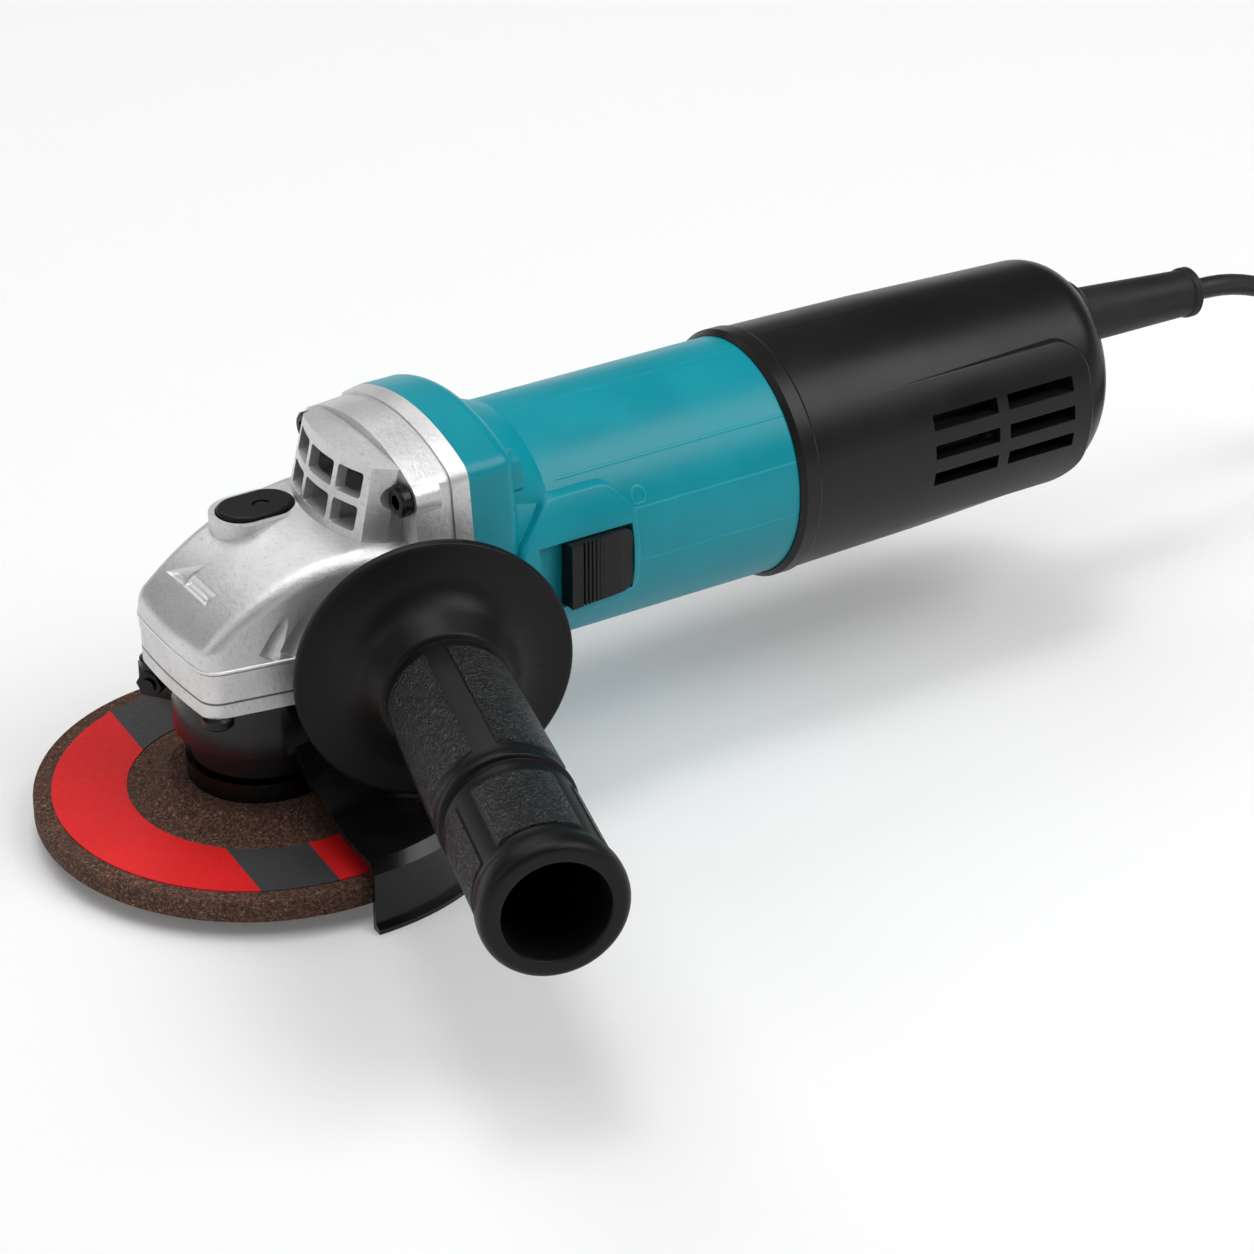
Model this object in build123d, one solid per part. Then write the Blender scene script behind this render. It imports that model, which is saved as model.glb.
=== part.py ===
"""Corded angle grinder for 115 mm wheels, built as separate pieces.

Frame: X runs from the spindle to the tail, the side handle points to -Y and Z is up along the spindle.
The origin is on the spindle axis, in the plane of the lock nut's outer face and the wheel's lower face.
"""

from build123d import *
from math import acos, atan2, ceil, cos, degrees, log, pi, radians, sin, sqrt, tan
import os

# Fits, all radial or per side
RUN = 0.05
SEAT = 0.1
APART = 0.4
SCREW_PLAY = 0.2

# Grinding wheel and its clamping
WHEEL_R = 57.5
WHEEL_T = 6.0
WHEEL_BORE_R = 11.12
WHEEL_EDGE_R = 0.8
HUB_R = 23.5
HUB_RISE = 4.0
HUB_SLOPE = 6.0
LABEL_R_IN = 34.0
LABEL_R_OUT = 52.8
LABEL_T = 0.3
PILOT_L = 2.6
NUT_R = 20.5
SPANNER_PCD = 30.0
SPANNER_HOLE_R = 2.5
SPANNER_HOLE_L = 3.0
FLANGE_R = 18.8
FLANGE_T = 5.2
FLANGE_CUP_R = 16.6
FLANGE_CUP_DEPTH = 1.6

# Spindle
THREAD_R = 7.0
THREAD_END_Z = 0.8
SPINDLE_R = 8.0
SPINDLE_SEAT_R = 6.0
SPINDLE_TOP_R = 4.0
BUSH_R = 5.8
BUSH_Z = 62.0
BUSH_L = 7.0

# Bearing box, dust ring and guard neck
NECK_R = 19.9
NECK_BOTTOM_Z = 24.4
NECK_FLOOR = 3.6
BOX_PLATE_Z = 39.4
BOX_PLATE_T = 4.0
BOX_SPIGOT_L = 3.0
DUST_RING_R = 17.5
DUST_RING_L = 8.0
O_RING_R = 0.8

# Ball bearings: outer radius, bore radius, width, ball radius
SPINDLE_BEARING = (16.0, 6.0, 10.0, 2.9)
FRONT_BEARING = (13.0, 5.0, 8.0, 2.3)
REAR_BEARING = (9.5, 3.5, 6.0, 1.7)
BALLS = 8

# Bevel gears
MODULE = 1.05
GEAR_TEETH = 37
PINION_TEETH = 10
PRESSURE = radians(20)
SPIRAL = radians(28)
FACE_WIDTH = 6.0
WORKING_DEPTH = 1.6
GEAR_ADDENDUM = 0.45
ROOT_CLEARANCE = 0.25
BACKLASH = 0.16
TOOTH_SINK = 0.2
GEAR_BACK_Z = 47.2
GEAR_WEB_Z = 53.4
GEAR_HUB_R = 8.4
PINION_BORE_R = 2.2
PINION_HUB_R = 5.6
LOCK_CIRCLE_R = 10.8
LOCK_HOLES = 4
LOCK_HOLE_R = 2.5
LOCK_HOLE_L = 4.5

# Gear housing
MOTOR_Z = 59.4
CAVITY_R = 20.6
CAVITY_TOP_Z = 61.0
CAVITY_WALL_TOP_Z = 55.8
CAVITY_UPPER_R = 14.5
CAVITY_CONE_Z = 58.6
NOSE_X = -23.4
NOSE_BULGE = 1.2
NOSE_HALF_W = 20.2
NOSE_FLARE = 0.166
NOSE_CORNER_R = 6.0
NOSE_DRAFT = 8.0
NOSE_ARC_X = 20.8
NOSE_ARC_Z = 13.6
NOSE_ARC_R = 62.0
NOSE_EDGE_R = 4.5
RIDGE_Z = 52.0
RIDGE_STEP = 0.6
RIDGE_BAND = 3.0
FLUTES = (((-2.5, 65.0), (-8.5, 54.0)), ((3.5, 65.5), (-3.4, 54.0)))
FLUTE_R = 5.0
FLUTE_DEPTH = 0.7
BELL_X = 36.0
BELL_FRONT_X = 31.0
RING_X = 41.0
RING_STEP = 0.6
FRONT_WALL = 3.5
JOINT_X = 45.5
BELL_HALF_W = 32.2
BELL_DEPTH = 32.4
BELL_TOP_Z = 99.5
BELL_SHOULDER_Y = 28.4
BELL_SHOULDER_Z = 92.6
BELL_SHOULDER_R = 5.0
BELL_FOOT_R = 16.0
BELL_DRAFT = 1.7
BELL_WALL = 3.5
HUMP_TOP_Z = 95.6
HUMP_CROWN_R = 120.0
HUMP_BASE_Z = 71.0
HUMP_FRONT_X = 17.0
HUMP_FRONT_Z = 76.0
HUMP_LEAN = 0.226
HUMP_CORNER_Y = 18.4
HUMP_SWEEP = 3.9
HUMP_SIDE_RUN = 5.5
HUMP_SIDE_OUT = 3.0
HUMP_WALL = 2.6
DUCT_FLOOR_Z = 77.5
DUCT_ROOF = 2.4
WINDOW_ROWS = ((77.6, 83.9), (85.9, 92.4))
WINDOW_COLUMNS = ((-15.8, -7.4), (-5.7, 5.7), (7.4, 15.8))
WINDOW_CORNER_R = 0.9
TUNNEL_R = 9.0

# Shaft lock
BUTTON_X = 8.0
BUTTON_Y = 12.6
BUTTON_L = 20.0
BUTTON_W = 13.0
BUTTON_T = 4.2
BUTTON_TOP_Z = 76.4
BUTTON_TRAVEL = 4.0
LOCK_PIN_R = 2.2
LOCK_PIN_TIP_Z = 58.6
LOCK_SPRING_R = 3.6
LOCK_SPRING_WALL = 0.7

# Wheel guard
COLLAR_WALL = 1.6
COLLAR_TOP_Z = 38.6
GUARD_T = 1.4
GUARD_R = 62.8
GUARD_LIP = 1.8
GUARD_LIP_T = 1.2
GUARD_BOTTOM_Z = -4.3
GUARD_TOP_Z = 14.3
GUARD_STEP_R = 27.0
GUARD_STEP_Z = 18.4
GUARD_FLAT_R = 47.5
GUARD_SHOULDER = 2.6
GUARD_HALF_SPAN = 92.0
LUG_ANGLE = 125.0
LUG_GAP = 4.0
LUG_T = 2.6
LUG_REACH = 9.5
LUG_Z = (26.0, 35.4)

# Screws: shank radius, head radius, head height
M5 = (2.4, 4.0, 3.2)
M4 = (1.9, 3.5, 2.6)
M3 = (1.4, 2.6, 2.0)
BOX_SCREWS = ((-19.4, 17.2), (18.5, 20.6))
BOX_SCREW_L = 16.0
HOUSING_SCREWS = ((23.8, 87.0), (23.6, 34.4))
HOUSING_SCREW_X = 31.0
HOUSING_SCREW_L = 27.0
SCREW_BOSS_R = 5.4
SOCKET_R = 1.9
SOCKET_DEPTH = 1.5

# Motor housing
BARREL_R = 31.75
BARREL_WALL = 2.55
BARREL_END_X = 141.0
SHOULDER_X = 59.5
SHOULDER_ROUND = 4.0
NECK_X = 70.0
SPIGOT_R = 29.5
SPIGOT_END_X = 160.0
SPIGOT_WALL = 2.6
BULKHEAD_T = 4.5
REAR_BOSS_R = 14.5
RUBBER_T = 2.0
BEARING_REAR_X = 151.0
FRONT_BEARING_X = 26.0

# Switch
KNOB_X = (70.0, 89.0)
KNOB_HALF_H = 8.7
KNOB_TOP_Y = 36.3
KNOB_REAR_Y = 34.8
KNOB_SINK_Y = 31.2
KNOB_RIBS = 7
KNOB_RIB_STEP = 1.2
KNOB_RIB_X = 73.4
KNOB_RIB_DEPTH = 0.5
PAD_R = 34.4
PAD_X = (57.0, 91.5)
PAD_TOP = 19.6
PAD_BOTTOM = 12.8
PAD_CORNER_R = 6.0
PAD_EDGE_R = 1.2
SWITCH_TRAVEL = 6.5
STEM_HALF_H = 3.2
STEM_X = (78.0, 85.0)
ROD_Y = (25.9, 28.1)
ROD_HALF_H = 4.0
ROD_END_X = 200.0
SWITCH_X = (172.0, 206.0)
SWITCH_Y = (6.0, 25.4)
SWITCH_HALF_H = 11.0

# Motor
FIELD_X = (75.0, 117.0)
FIELD_R = 28.9
FIELD_FLAT_Y = 25.2
FIELD_BORE_R = 16.4
COIL_R = (17.9, 21.6)
COIL_END = 6.5
COIL_EDGE_DEG = 8.0
POLE_DEG = 41.0
SLOT_PLAY = 0.5
FIELD_SCREW_R = 25.6
FIELD_POST_END_X = 131.0
SHAFT_R = 5.0
ARMATURE_R = 15.7
ARMATURE_SLOTS = 12
SLOT_R = 1.7
SLOT_CIRCLE_R = 13.1
SLOT_MOUTH = 1.2
WINDING_R = (7.0, 14.2)
WINDING_END = 8.0
COMMUTATOR_X = (131.0, 144.0)
COMMUTATOR_R = 11.0
COMMUTATOR_RISER = 1.4
COMMUTATOR_BARS = 24
BAR_GAP = 0.5
FAN_X = (47.0, 57.0)
FAN_R = 26.5
FAN_HUB_R = 10.0
FAN_PLATE_T = 1.6
FAN_BLADES = 14
FAN_BLADE_T = 1.4
BAFFLE_X = 59.5
BAFFLE_T = 1.8
BAFFLE_BORE_R = 17.5
BRUSH_X = 137.5
BRUSH = (6.0, 9.0, 9.0)
HOLDER_WALL = 1.6
HOLDER_R = (13.0, 25.8)

# Rear cover
COVER_END_X = 246.2
COVER_WALL = 2.6
COVER_R = ((141.0, 32.2), (142.4, 33.4), (146.4, 33.4), (147.2, 32.9), (188.0, 32.2), (229.0, 30.7), (262.0, 29.5))
COVER_END_TILT = 8.0
COVER_END_ROUND = 11.0
COVER_SCREW_X = 152.0
COVER_SCREW_Y = 9.0
COVER_SCREW_L = 6.0
COVER_SCREW_SEAT = 2.0
VENT_X = ((183.5, 204.2), (207.6, 229.0))
VENT_Z = (54.2, 62.1, 70.0)
VENT_H = 4.0
PANEL_X = (149.0, 235.5)
PANEL_HALF_H = 21.0
PANEL_CORNER_R = 9.0
PANEL_R = 32.5
PANEL_EDGE_R = 1.2

# Cord guard and cord
CORD_R = 3.0
RELIEF_START = (243.0, 0.0, 71.9)
RELIEF_TIP = (293.2, 0.0, 69.3)
RELIEF_BASE_R = 7.8
RELIEF_TIP_R = 6.5
RELIEF_COLLAR_R = 10.6
RELIEF_COLLAR_L = 9.6
RELIEF_NECK_R = 7.6
RELIEF_BEAD = 0.5
RELIEF_BEAD_L = 3.0
CLAMP_X = (222.0, 232.0)
CLAMP_HALF_W = 11.0
CLAMP_T = 5.0
CLAMP_SCREW_Y = 7.6
CLAMP_SCREW_L = 12.0
CORD_INSIDE = 26.0

# Cord route on the floor and its coil
FLOOR_Z = GUARD_BOTTOM_Z
TIE_T = 0.8
TIE_W = 8.0
COIL_Z = FLOOR_Z + TIE_T + 0.2 + CORD_R
CORD_BENDS = ((328.5, 1.5, 60.5), (342.0, 5.0, 44.0), (351.5, 9.3, 23.5), (365.5, 14.3, 8.0))
CORD_FLOOR_X = 384.0
CORD_FLOOR_Y = 18.8
CORD_FIRST_RUN = 15.0
CORD_LAST_RUN = 17.0
CORD_BEND_SHARE = 0.45
COIL_R_OUT = 42.8
COIL_PITCH = 6.9
COIL_LAYER = 6.6
COIL_TURNS = 2.25
COIL_LAST_TURNS = 1.75
COIL_TAIL_R = 56.0
COIL_STRAIGHT = 6.0
PLUG_R = 18.0
PLUG_BOOT_R = (5.0, 7.0)
PLUG_BOOT_L = 14.0
PLUG_L = 56.0
PLUG_PIN_R = 2.4
PLUG_PIN_L = 19.0
PLUG_PIN_PITCH = 19.0

# Side handle
HANDLE_LEAN = 15.7
HANDLE_FLANGE = (26.8, -42.45, 50.4)
HANDLE_ROOT = 9.4
HANDLE_L = 112.0
HANDLE_FLANGE_R = 34.8
HANDLE_NECK_R = 13.0
GRIP_ROOT_R = 15.1
GRIP_R = 16.4
GRIP_RING_R = 16.8
GRIP_GROOVE_R = 15.6
GRIP_RING_S = 79.8
GRIP_END_R = 17.6
GRIP_HOLE_R = 12.5
GRIP_HOLE_L = 62.0
BOLT_R = 4.0
BOLT_DEPTH = 17.0
BOLT_IN_GRIP = 26.0
BOLT_HEAD_R = 6.5
BOLT_HEAD_L = 6.0
HANDLE_BOSS_R = 11.0
HANDLE_HOLE_L = 18.0

# Derived places
HUB_Z = HUB_RISE
HUB_TOP_Z = HUB_RISE + WHEEL_T
FLANGE_TOP_Z = HUB_TOP_Z + FLANGE_T
BOX_TOP_Z = BOX_PLATE_Z + BOX_PLATE_T
BEARING_Z = NECK_BOTTOM_Z + NECK_FLOOR
BEARING_TOP_Z = BEARING_Z + SPINDLE_BEARING[2]
BARREL_BORE_R = BARREL_R - BARREL_WALL
FRONT_BEARING_END = FRONT_BEARING_X + FRONT_BEARING[2]
HANDLE_DIR = Vector(-sin(radians(HANDLE_LEAN)), -cos(radians(HANDLE_LEAN)), 0)
HANDLE_ROOT_POINT = Vector(*HANDLE_FLANGE) - HANDLE_DIR * HANDLE_ROOT

# Turning frames: heights run along the frame's Z
SPINDLE = Plane.XY
MOTOR = Plane(origin=(0, 0, MOTOR_Z), x_dir=(0, 0, 1), z_dir=(1, 0, 0))
HANDLE = Plane(origin=HANDLE_ROOT_POINT, x_dir=(0, 0, 1), z_dir=HANDLE_DIR)

nodes = {}


def rod(start, end, radius):
    """Cylinder between two points."""
    start, end = Vector(*start), Vector(*end)
    return Solid.make_cylinder(radius, (end - start).length, Plane(origin=start, z_dir=end - start))


def rod_z(x, y, low, high, radius):
    return rod((x, y, low), (x, y, high), radius)


def rod_x(low, high, radius, y=0.0, z=MOTOR_Z):
    return rod((low, y, z), (high, y, z), radius)


def block(x, y, z):
    """Box from three (low, high) pairs."""
    size = [high - low for low, high in (x, y, z)]
    centre = [(low + high) / 2 for low, high in (x, y, z)]
    return Pos(*centre) * Box(*size)


def turned(points, frame, start=0.0, arc=360.0):
    """Solid of revolution from (radius, height) points about a frame's Z axis."""
    spin = Axis(frame.origin, frame.z_dir)
    ring = [frame.origin + frame.x_dir * r + frame.z_dir * h for r, h in points]
    solid = revolve(make_face(Polyline(*ring, close=True)), spin, arc)
    return solid.rotate(spin, start) if start else solid


def around(shape, count, axis=Axis.Z, start=0.0):
    """Copies of a shape, evenly spaced round an axis."""
    return [shape.rotate(axis, start + 360.0 * i / count) for i in range(count)]


def mirrored(shape):
    """A shape and its mirror image across the XZ plane."""
    return [shape, mirror(shape, Plane.XZ)]


def group(solids):
    return Compound(children=list(solids))


MOTOR_AXIS = Axis((0, 0, MOTOR_Z), (1, 0, 0))


# Wheel, nut and flange

def grinding_wheel():
    low_slope = HUB_R + HUB_SLOPE
    profile = [
        (WHEEL_BORE_R, HUB_Z),
        (HUB_R, HUB_Z),
        (low_slope, 0),
        (WHEEL_R, 0),
        (WHEEL_R, WHEEL_T),
        (low_slope, WHEEL_T),
        (HUB_R, HUB_TOP_Z),
        (WHEEL_BORE_R, HUB_TOP_Z),
    ]
    wheel = turned(profile, SPINDLE)
    rim = wheel.edges().filter_by(GeomType.CIRCLE).filter_by(lambda e: abs(e.radius - WHEEL_R) < 0.01)
    return fillet(rim, WHEEL_EDGE_R)


def wheel_label():
    return rod_z(0, 0, WHEEL_T, WHEEL_T + LABEL_T, LABEL_R_OUT) - rod_z(
        0, 0, WHEEL_T, WHEEL_T + LABEL_T, LABEL_R_IN
    )


def lock_nut():
    pilot_r = WHEEL_BORE_R - SEAT
    body = rod_z(0, 0, 0, HUB_Z, NUT_R) + rod_z(0, 0, HUB_Z, HUB_Z + PILOT_L, pilot_r)
    body -= rod_z(0, 0, 0, HUB_Z + PILOT_L, THREAD_R + RUN)
    holes = [rod_z(side * SPANNER_PCD / 2, 0, 0, SPANNER_HOLE_L, SPANNER_HOLE_R) for side in (-1, 1)]
    return body - holes


def inner_flange():
    cup_z = FLANGE_TOP_Z - FLANGE_CUP_DEPTH
    bore_r = THREAD_R + RUN
    profile = [
        (bore_r, HUB_TOP_Z - PILOT_L),
        (WHEEL_BORE_R - SEAT, HUB_TOP_Z - PILOT_L),
        (WHEEL_BORE_R - SEAT, HUB_TOP_Z),
        (FLANGE_R, HUB_TOP_Z),
        (FLANGE_R, FLANGE_TOP_Z),
        (FLANGE_CUP_R, FLANGE_TOP_Z),
        (FLANGE_CUP_R, cup_z),
        (bore_r, cup_z),
    ]
    return turned(profile, SPINDLE)


# Spindle and its bearings

def spindle():
    cup_z = FLANGE_TOP_Z - FLANGE_CUP_DEPTH
    seat_end = GEAR_WEB_Z + 2.0
    profile = [
        (0, THREAD_END_Z),
        (THREAD_R, THREAD_END_Z),
        (THREAD_R, cup_z),
        (SPINDLE_R + 1.0, cup_z),
        (SPINDLE_R + 1.0, FLANGE_TOP_Z),
        (SPINDLE_R, FLANGE_TOP_Z),
        (SPINDLE_R, BEARING_Z),
        (SPINDLE_SEAT_R, BEARING_Z),
        (SPINDLE_SEAT_R, seat_end),
        (SPINDLE_TOP_R, seat_end),
        (SPINDLE_TOP_R, BUSH_Z + BUSH_L - 1.0),
        (0, BUSH_Z + BUSH_L - 1.0),
    ]
    return turned(profile, SPINDLE)


def ball_bearing(size, frame, low):
    """Outer ring with its balls, and inner ring, of a deep groove bearing."""
    outer_r, bore_r, width, ball_r = size
    middle_r = (outer_r + bore_r) / 2
    land = ball_r * 0.62
    centre = frame.origin + frame.z_dir * (low + width / 2)
    spin = Axis(frame.origin, frame.z_dir)
    place = Plane(origin=centre, x_dir=frame.x_dir, z_dir=frame.z_dir)
    groove = place * Torus(middle_r, ball_r + RUN)
    outer = turned(
        [(middle_r + land, low), (outer_r, low), (outer_r, low + width), (middle_r + land, low + width)], frame
    )
    inner = turned(
        [(bore_r, low), (middle_r - land, low), (middle_r - land, low + width), (bore_r, low + width)], frame
    )
    ball = Pos(centre + frame.x_dir * middle_r) * Sphere(ball_r)
    balls = around(ball, BALLS, spin)
    return group([outer - groove, *balls]), inner - groove


def spindle_bearing_retainer():
    outer_r = SPINDLE_BEARING[0] - SEAT
    return rod_z(0, 0, BEARING_TOP_Z, BEARING_TOP_Z + 2.4, outer_r) - rod_z(
        0, 0, BEARING_TOP_Z, BEARING_TOP_Z + 2.4, outer_r - 3.0
    )


def gear_retaining_ring():
    ring = rod_z(0, 0, GEAR_WEB_Z, GEAR_WEB_Z + 1.4, SPINDLE_SEAT_R + 1.7)
    ring -= rod_z(0, 0, GEAR_WEB_Z, GEAR_WEB_Z + 1.4, SPINDLE_SEAT_R + 0.02)
    mouth = block((-3 * SPINDLE_SEAT_R, 0), (-2.0, 2.0), (GEAR_WEB_Z - 1, GEAR_WEB_Z + 3))
    return ring - mouth


def needle_bush():
    return rod_z(0, 0, BUSH_Z, BUSH_Z + BUSH_L, BUSH_R) - rod_z(
        0, 0, BUSH_Z, BUSH_Z + BUSH_L, SPINDLE_TOP_R + RUN
    )


# Bevel gears

def bevel_facts(teeth, mate):
    """Pitch radius, cone angle, outer cone distance and developed radius of a bevel gear."""
    pitch_r = MODULE * teeth / 2
    cone = atan2(teeth, mate)
    return pitch_r, cone, pitch_r / sin(cone), pitch_r / cos(cone)


def bevel_point(teeth, mate, share, height):
    """(radius, distance from the apex along the axis) at a share of the cone and a height over the pitch line."""
    _, cone, outer, flat_r = bevel_facts(teeth, mate)
    rho = flat_r + height
    return share * rho * cos(cone), share * (outer / cos(cone) - rho * sin(cone))


def bevel_tooth(teeth, mate, addendum, dedendum, thickness, frame, hand):
    """One spiral tooth: involute sections of the developed back cone, lofted along the cone."""
    _, cone, outer, flat_r = bevel_facts(teeth, mate)
    base_r = flat_r * cos(PRESSURE)
    half_at_base = thickness / 2 / flat_r + tan(PRESSURE) - PRESSURE

    def half_angle(rho):
        if rho <= base_r:
            return half_at_base
        angle = acos(base_r / rho)
        return half_at_base - (tan(angle) - angle)

    root = flat_r - dedendum - TOOTH_SINK
    tip = flat_r + addendum
    radii = [root + (tip - root) * i / 4 for i in range(5)]
    inner_share = 1 - FACE_WIDTH / outer
    sections = []
    for share in (inner_share, (1 + inner_share) / 2, 1.0):
        turn = hand * tan(SPIRAL) * log(share) / sin(cone)
        out = frame.x_dir * cos(turn) + frame.y_dir * sin(turn)
        across = frame.y_dir * cos(turn) - frame.x_dir * sin(turn)
        up = out * cos(cone) - frame.z_dir * sin(cone)
        origin = frame.origin + frame.z_dir * (share * outer / cos(cone))
        left = [
            origin + across * (-share * r * sin(half_angle(r))) + up * (share * r * cos(half_angle(r)))
            for r in radii
        ]
        right = [
            origin + across * (share * r * sin(half_angle(r))) + up * (share * r * cos(half_angle(r)))
            for r in reversed(radii)
        ]
        edges = [Spline(*left), Line(left[-1], right[0]), Spline(*right), Line(right[-1], left[0])]
        sections.append(make_face(edges))
    return loft(sections)


def tooth_sizes():
    """Addendum, dedendum and thickness of the pinion's and the gear's teeth."""
    gear_add = GEAR_ADDENDUM * MODULE
    pinion_add = (WORKING_DEPTH - GEAR_ADDENDUM) * MODULE
    clearance = ROOT_CLEARANCE * MODULE
    shift = (pinion_add - gear_add) * tan(PRESSURE)
    half_pitch = pi * MODULE / 2
    pinion = (pinion_add, gear_add + clearance, half_pitch + shift - BACKLASH)
    gear = (gear_add, pinion_add + clearance, half_pitch - shift - BACKLASH)
    return pinion, gear


APEX = Vector(0, 0, MOTOR_Z)
GEAR_FRAME = Plane(origin=APEX, x_dir=(1, 0, 0), z_dir=(0, 0, -1))
PINION_FRAME = Plane(origin=APEX, x_dir=(0, 0, -1), z_dir=(1, 0, 0))


def bevel_gear():
    _, (addendum, dedendum, thickness) = tooth_sizes()
    _, _, outer, _ = bevel_facts(GEAR_TEETH, PINION_TEETH)
    inner_share = 1 - FACE_WIDTH / outer
    heel_r, heel_drop = bevel_point(GEAR_TEETH, PINION_TEETH, 1.0, -dedendum)
    toe_r, toe_drop = bevel_point(GEAR_TEETH, PINION_TEETH, inner_share, -dedendum)
    heel_z, toe_z = MOTOR_Z - heel_drop, MOTOR_Z - toe_drop
    bore_r = SPINDLE_SEAT_R + 0.02
    blank = turned(
        [
            (bore_r, BEARING_TOP_Z),
            (GEAR_HUB_R, BEARING_TOP_Z),
            (GEAR_HUB_R, GEAR_BACK_Z),
            (heel_r - 3.5, GEAR_BACK_Z),
            (heel_r - 0.8, heel_z - 2.8),
            (heel_r, heel_z),
            (toe_r, toe_z),
            (toe_r - 0.6, GEAR_WEB_Z),
            (bore_r, GEAR_WEB_Z),
        ],
        SPINDLE,
    )
    tooth = bevel_tooth(GEAR_TEETH, PINION_TEETH, addendum, dedendum, thickness, GEAR_FRAME, 1)
    gear = blank + around(tooth, GEAR_TEETH)
    hole = rod_z(LOCK_CIRCLE_R, 0, GEAR_WEB_Z - LOCK_HOLE_L, GEAR_WEB_Z + 1, LOCK_HOLE_R)
    return gear - around(hole, LOCK_HOLES, start=45)


def pinion():
    (addendum, dedendum, thickness), _ = tooth_sizes()
    _, _, outer, _ = bevel_facts(PINION_TEETH, GEAR_TEETH)
    inner_share = 1 - FACE_WIDTH / outer
    heel_r, heel_x = bevel_point(PINION_TEETH, GEAR_TEETH, 1.0, -dedendum)
    toe_r, toe_x = bevel_point(PINION_TEETH, GEAR_TEETH, inner_share, -dedendum)
    bore_r = PINION_BORE_R + 0.02
    blank = turned(
        [
            (bore_r, toe_x - 0.3),
            (toe_r - 0.2, toe_x - 0.3),
            (toe_r, toe_x),
            (heel_r, heel_x),
            (PINION_HUB_R, heel_x + 1.0),
            (PINION_HUB_R, FRONT_BEARING_X),
            (bore_r, FRONT_BEARING_X),
        ],
        MOTOR,
    )
    tooth = bevel_tooth(PINION_TEETH, GEAR_TEETH, addendum, dedendum, thickness, PINION_FRAME, -1)
    return blank + around(tooth, PINION_TEETH, MOTOR_AXIS, 180.0 / PINION_TEETH)


def pinion_toe_x():
    (_, dedendum, _), _ = tooth_sizes()
    _, _, outer, _ = bevel_facts(PINION_TEETH, GEAR_TEETH)
    return bevel_point(PINION_TEETH, GEAR_TEETH, 1 - FACE_WIDTH / outer, -dedendum)[1] - 0.3


def pinion_nut():
    end = pinion_toe_x()
    hexagon = Plane(origin=(end - 2.8, 0, MOTOR_Z), z_dir=(1, 0, 0)) * RegularPolygon(3.5, 6)
    return extrude(hexagon, 2.8) - rod_x(end - 2.8, end, PINION_BORE_R + 0.02)


# Gear housing and bearing box

def nose_half_width(x):
    return NOSE_HALF_W + NOSE_FLARE * (x - NOSE_X)


def nose_plan(end_x, inset=0.0):
    """Plan outline of the gear head: a bowed front, rounded corners and sides that flare to the tail."""
    front, half = NOSE_X + inset, NOSE_HALF_W - inset
    rear_half = nose_half_width(end_x) - inset
    bow = ThreePointArc((front, half), (front - NOSE_BULGE, 0), (front, -half))
    sides = Polyline((front, -half), (end_x, -rear_half), (end_x, rear_half), (front, half))
    plan = make_face([*bow.edges(), *sides.edges()])
    corners = plan.vertices().sort_by(Axis.X)[:2]
    return fillet(corners, NOSE_CORNER_R - inset)


def bell_section(x, inset):
    """Cross-section of the motor flange: crowned top, sloping sides and a rounded foot."""
    half = BELL_HALF_W - inset
    foot = MOTOR_Z - BELL_DEPTH + inset
    shoulder_y, shoulder_z = BELL_SHOULDER_Y - inset, BELL_SHOULDER_Z - inset
    side_z = MOTOR_Z + 4.0
    top = ThreePointArc((-shoulder_y, shoulder_z), (0, BELL_TOP_Z - inset), (shoulder_y, shoulder_z))
    rest = Polyline(
        (shoulder_y, shoulder_z), (half, side_z), (half, foot), (-half, foot), (-half, side_z),
        (-shoulder_y, shoulder_z),
    )
    flat = make_face([*top.edges(), *rest.edges()])
    low = flat.vertices().sort_by(Axis.Y)[:2]
    flat = fillet(low, BELL_FOOT_R - inset)
    high = flat.vertices().filter_by(lambda v: abs(v.Y - shoulder_z) < 0.01)
    flat = fillet(high, BELL_SHOULDER_R - inset / 2)
    return Plane(origin=(x, 0, 0), x_dir=(0, 1, 0), z_dir=(1, 0, 0)) * flat


def handle_bosses():
    reach = HANDLE_ROOT_POINT - HANDLE_DIR * HANDLE_HOLE_L * 1.2
    return mirrored(rod(reach, HANDLE_ROOT_POINT, HANDLE_BOSS_R))


def handle_holes():
    end = HANDLE_ROOT_POINT - HANDLE_DIR * HANDLE_HOLE_L
    return mirrored(rod(end, HANDLE_ROOT_POINT + HANDLE_DIR, BOLT_R + SEAT))


def hump_front(z):
    return HUMP_FRONT_X + HUMP_LEAN * (z - HUMP_FRONT_Z)


def hump_plan(z, inset=0.0):
    """Plan of the exhaust hump at a height: bowed front, swept corners and flared cheeks."""
    front = hump_front(z) + inset
    corner_y = HUMP_CORNER_Y - inset - 0.04 * (z - HUMP_FRONT_Z)
    corner_x = front + HUMP_SWEEP
    cheek_x, cheek_y = corner_x + HUMP_SIDE_RUN, corner_y + HUMP_SIDE_OUT
    bow = ThreePointArc((corner_x, corner_y), (front, 0), (corner_x, -corner_y))
    rest = Polyline(
        (corner_x, -corner_y), (cheek_x, -cheek_y), (BELL_X + 2, -cheek_y), (BELL_X + 2, cheek_y),
        (cheek_x, cheek_y), (corner_x, corner_y),
    )
    return Pos(0, 0, z) * make_face([*bow.edges(), *rest.edges()])


def hump_roof(depth):
    """The room under the hump's crowned roof, moved down by `depth`."""
    front = hump_front(HUMP_BASE_Z) - 6
    return rod_x(front, BELL_X + 8, HUMP_CROWN_R - depth, 0, HUMP_TOP_Z - HUMP_CROWN_R)


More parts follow.
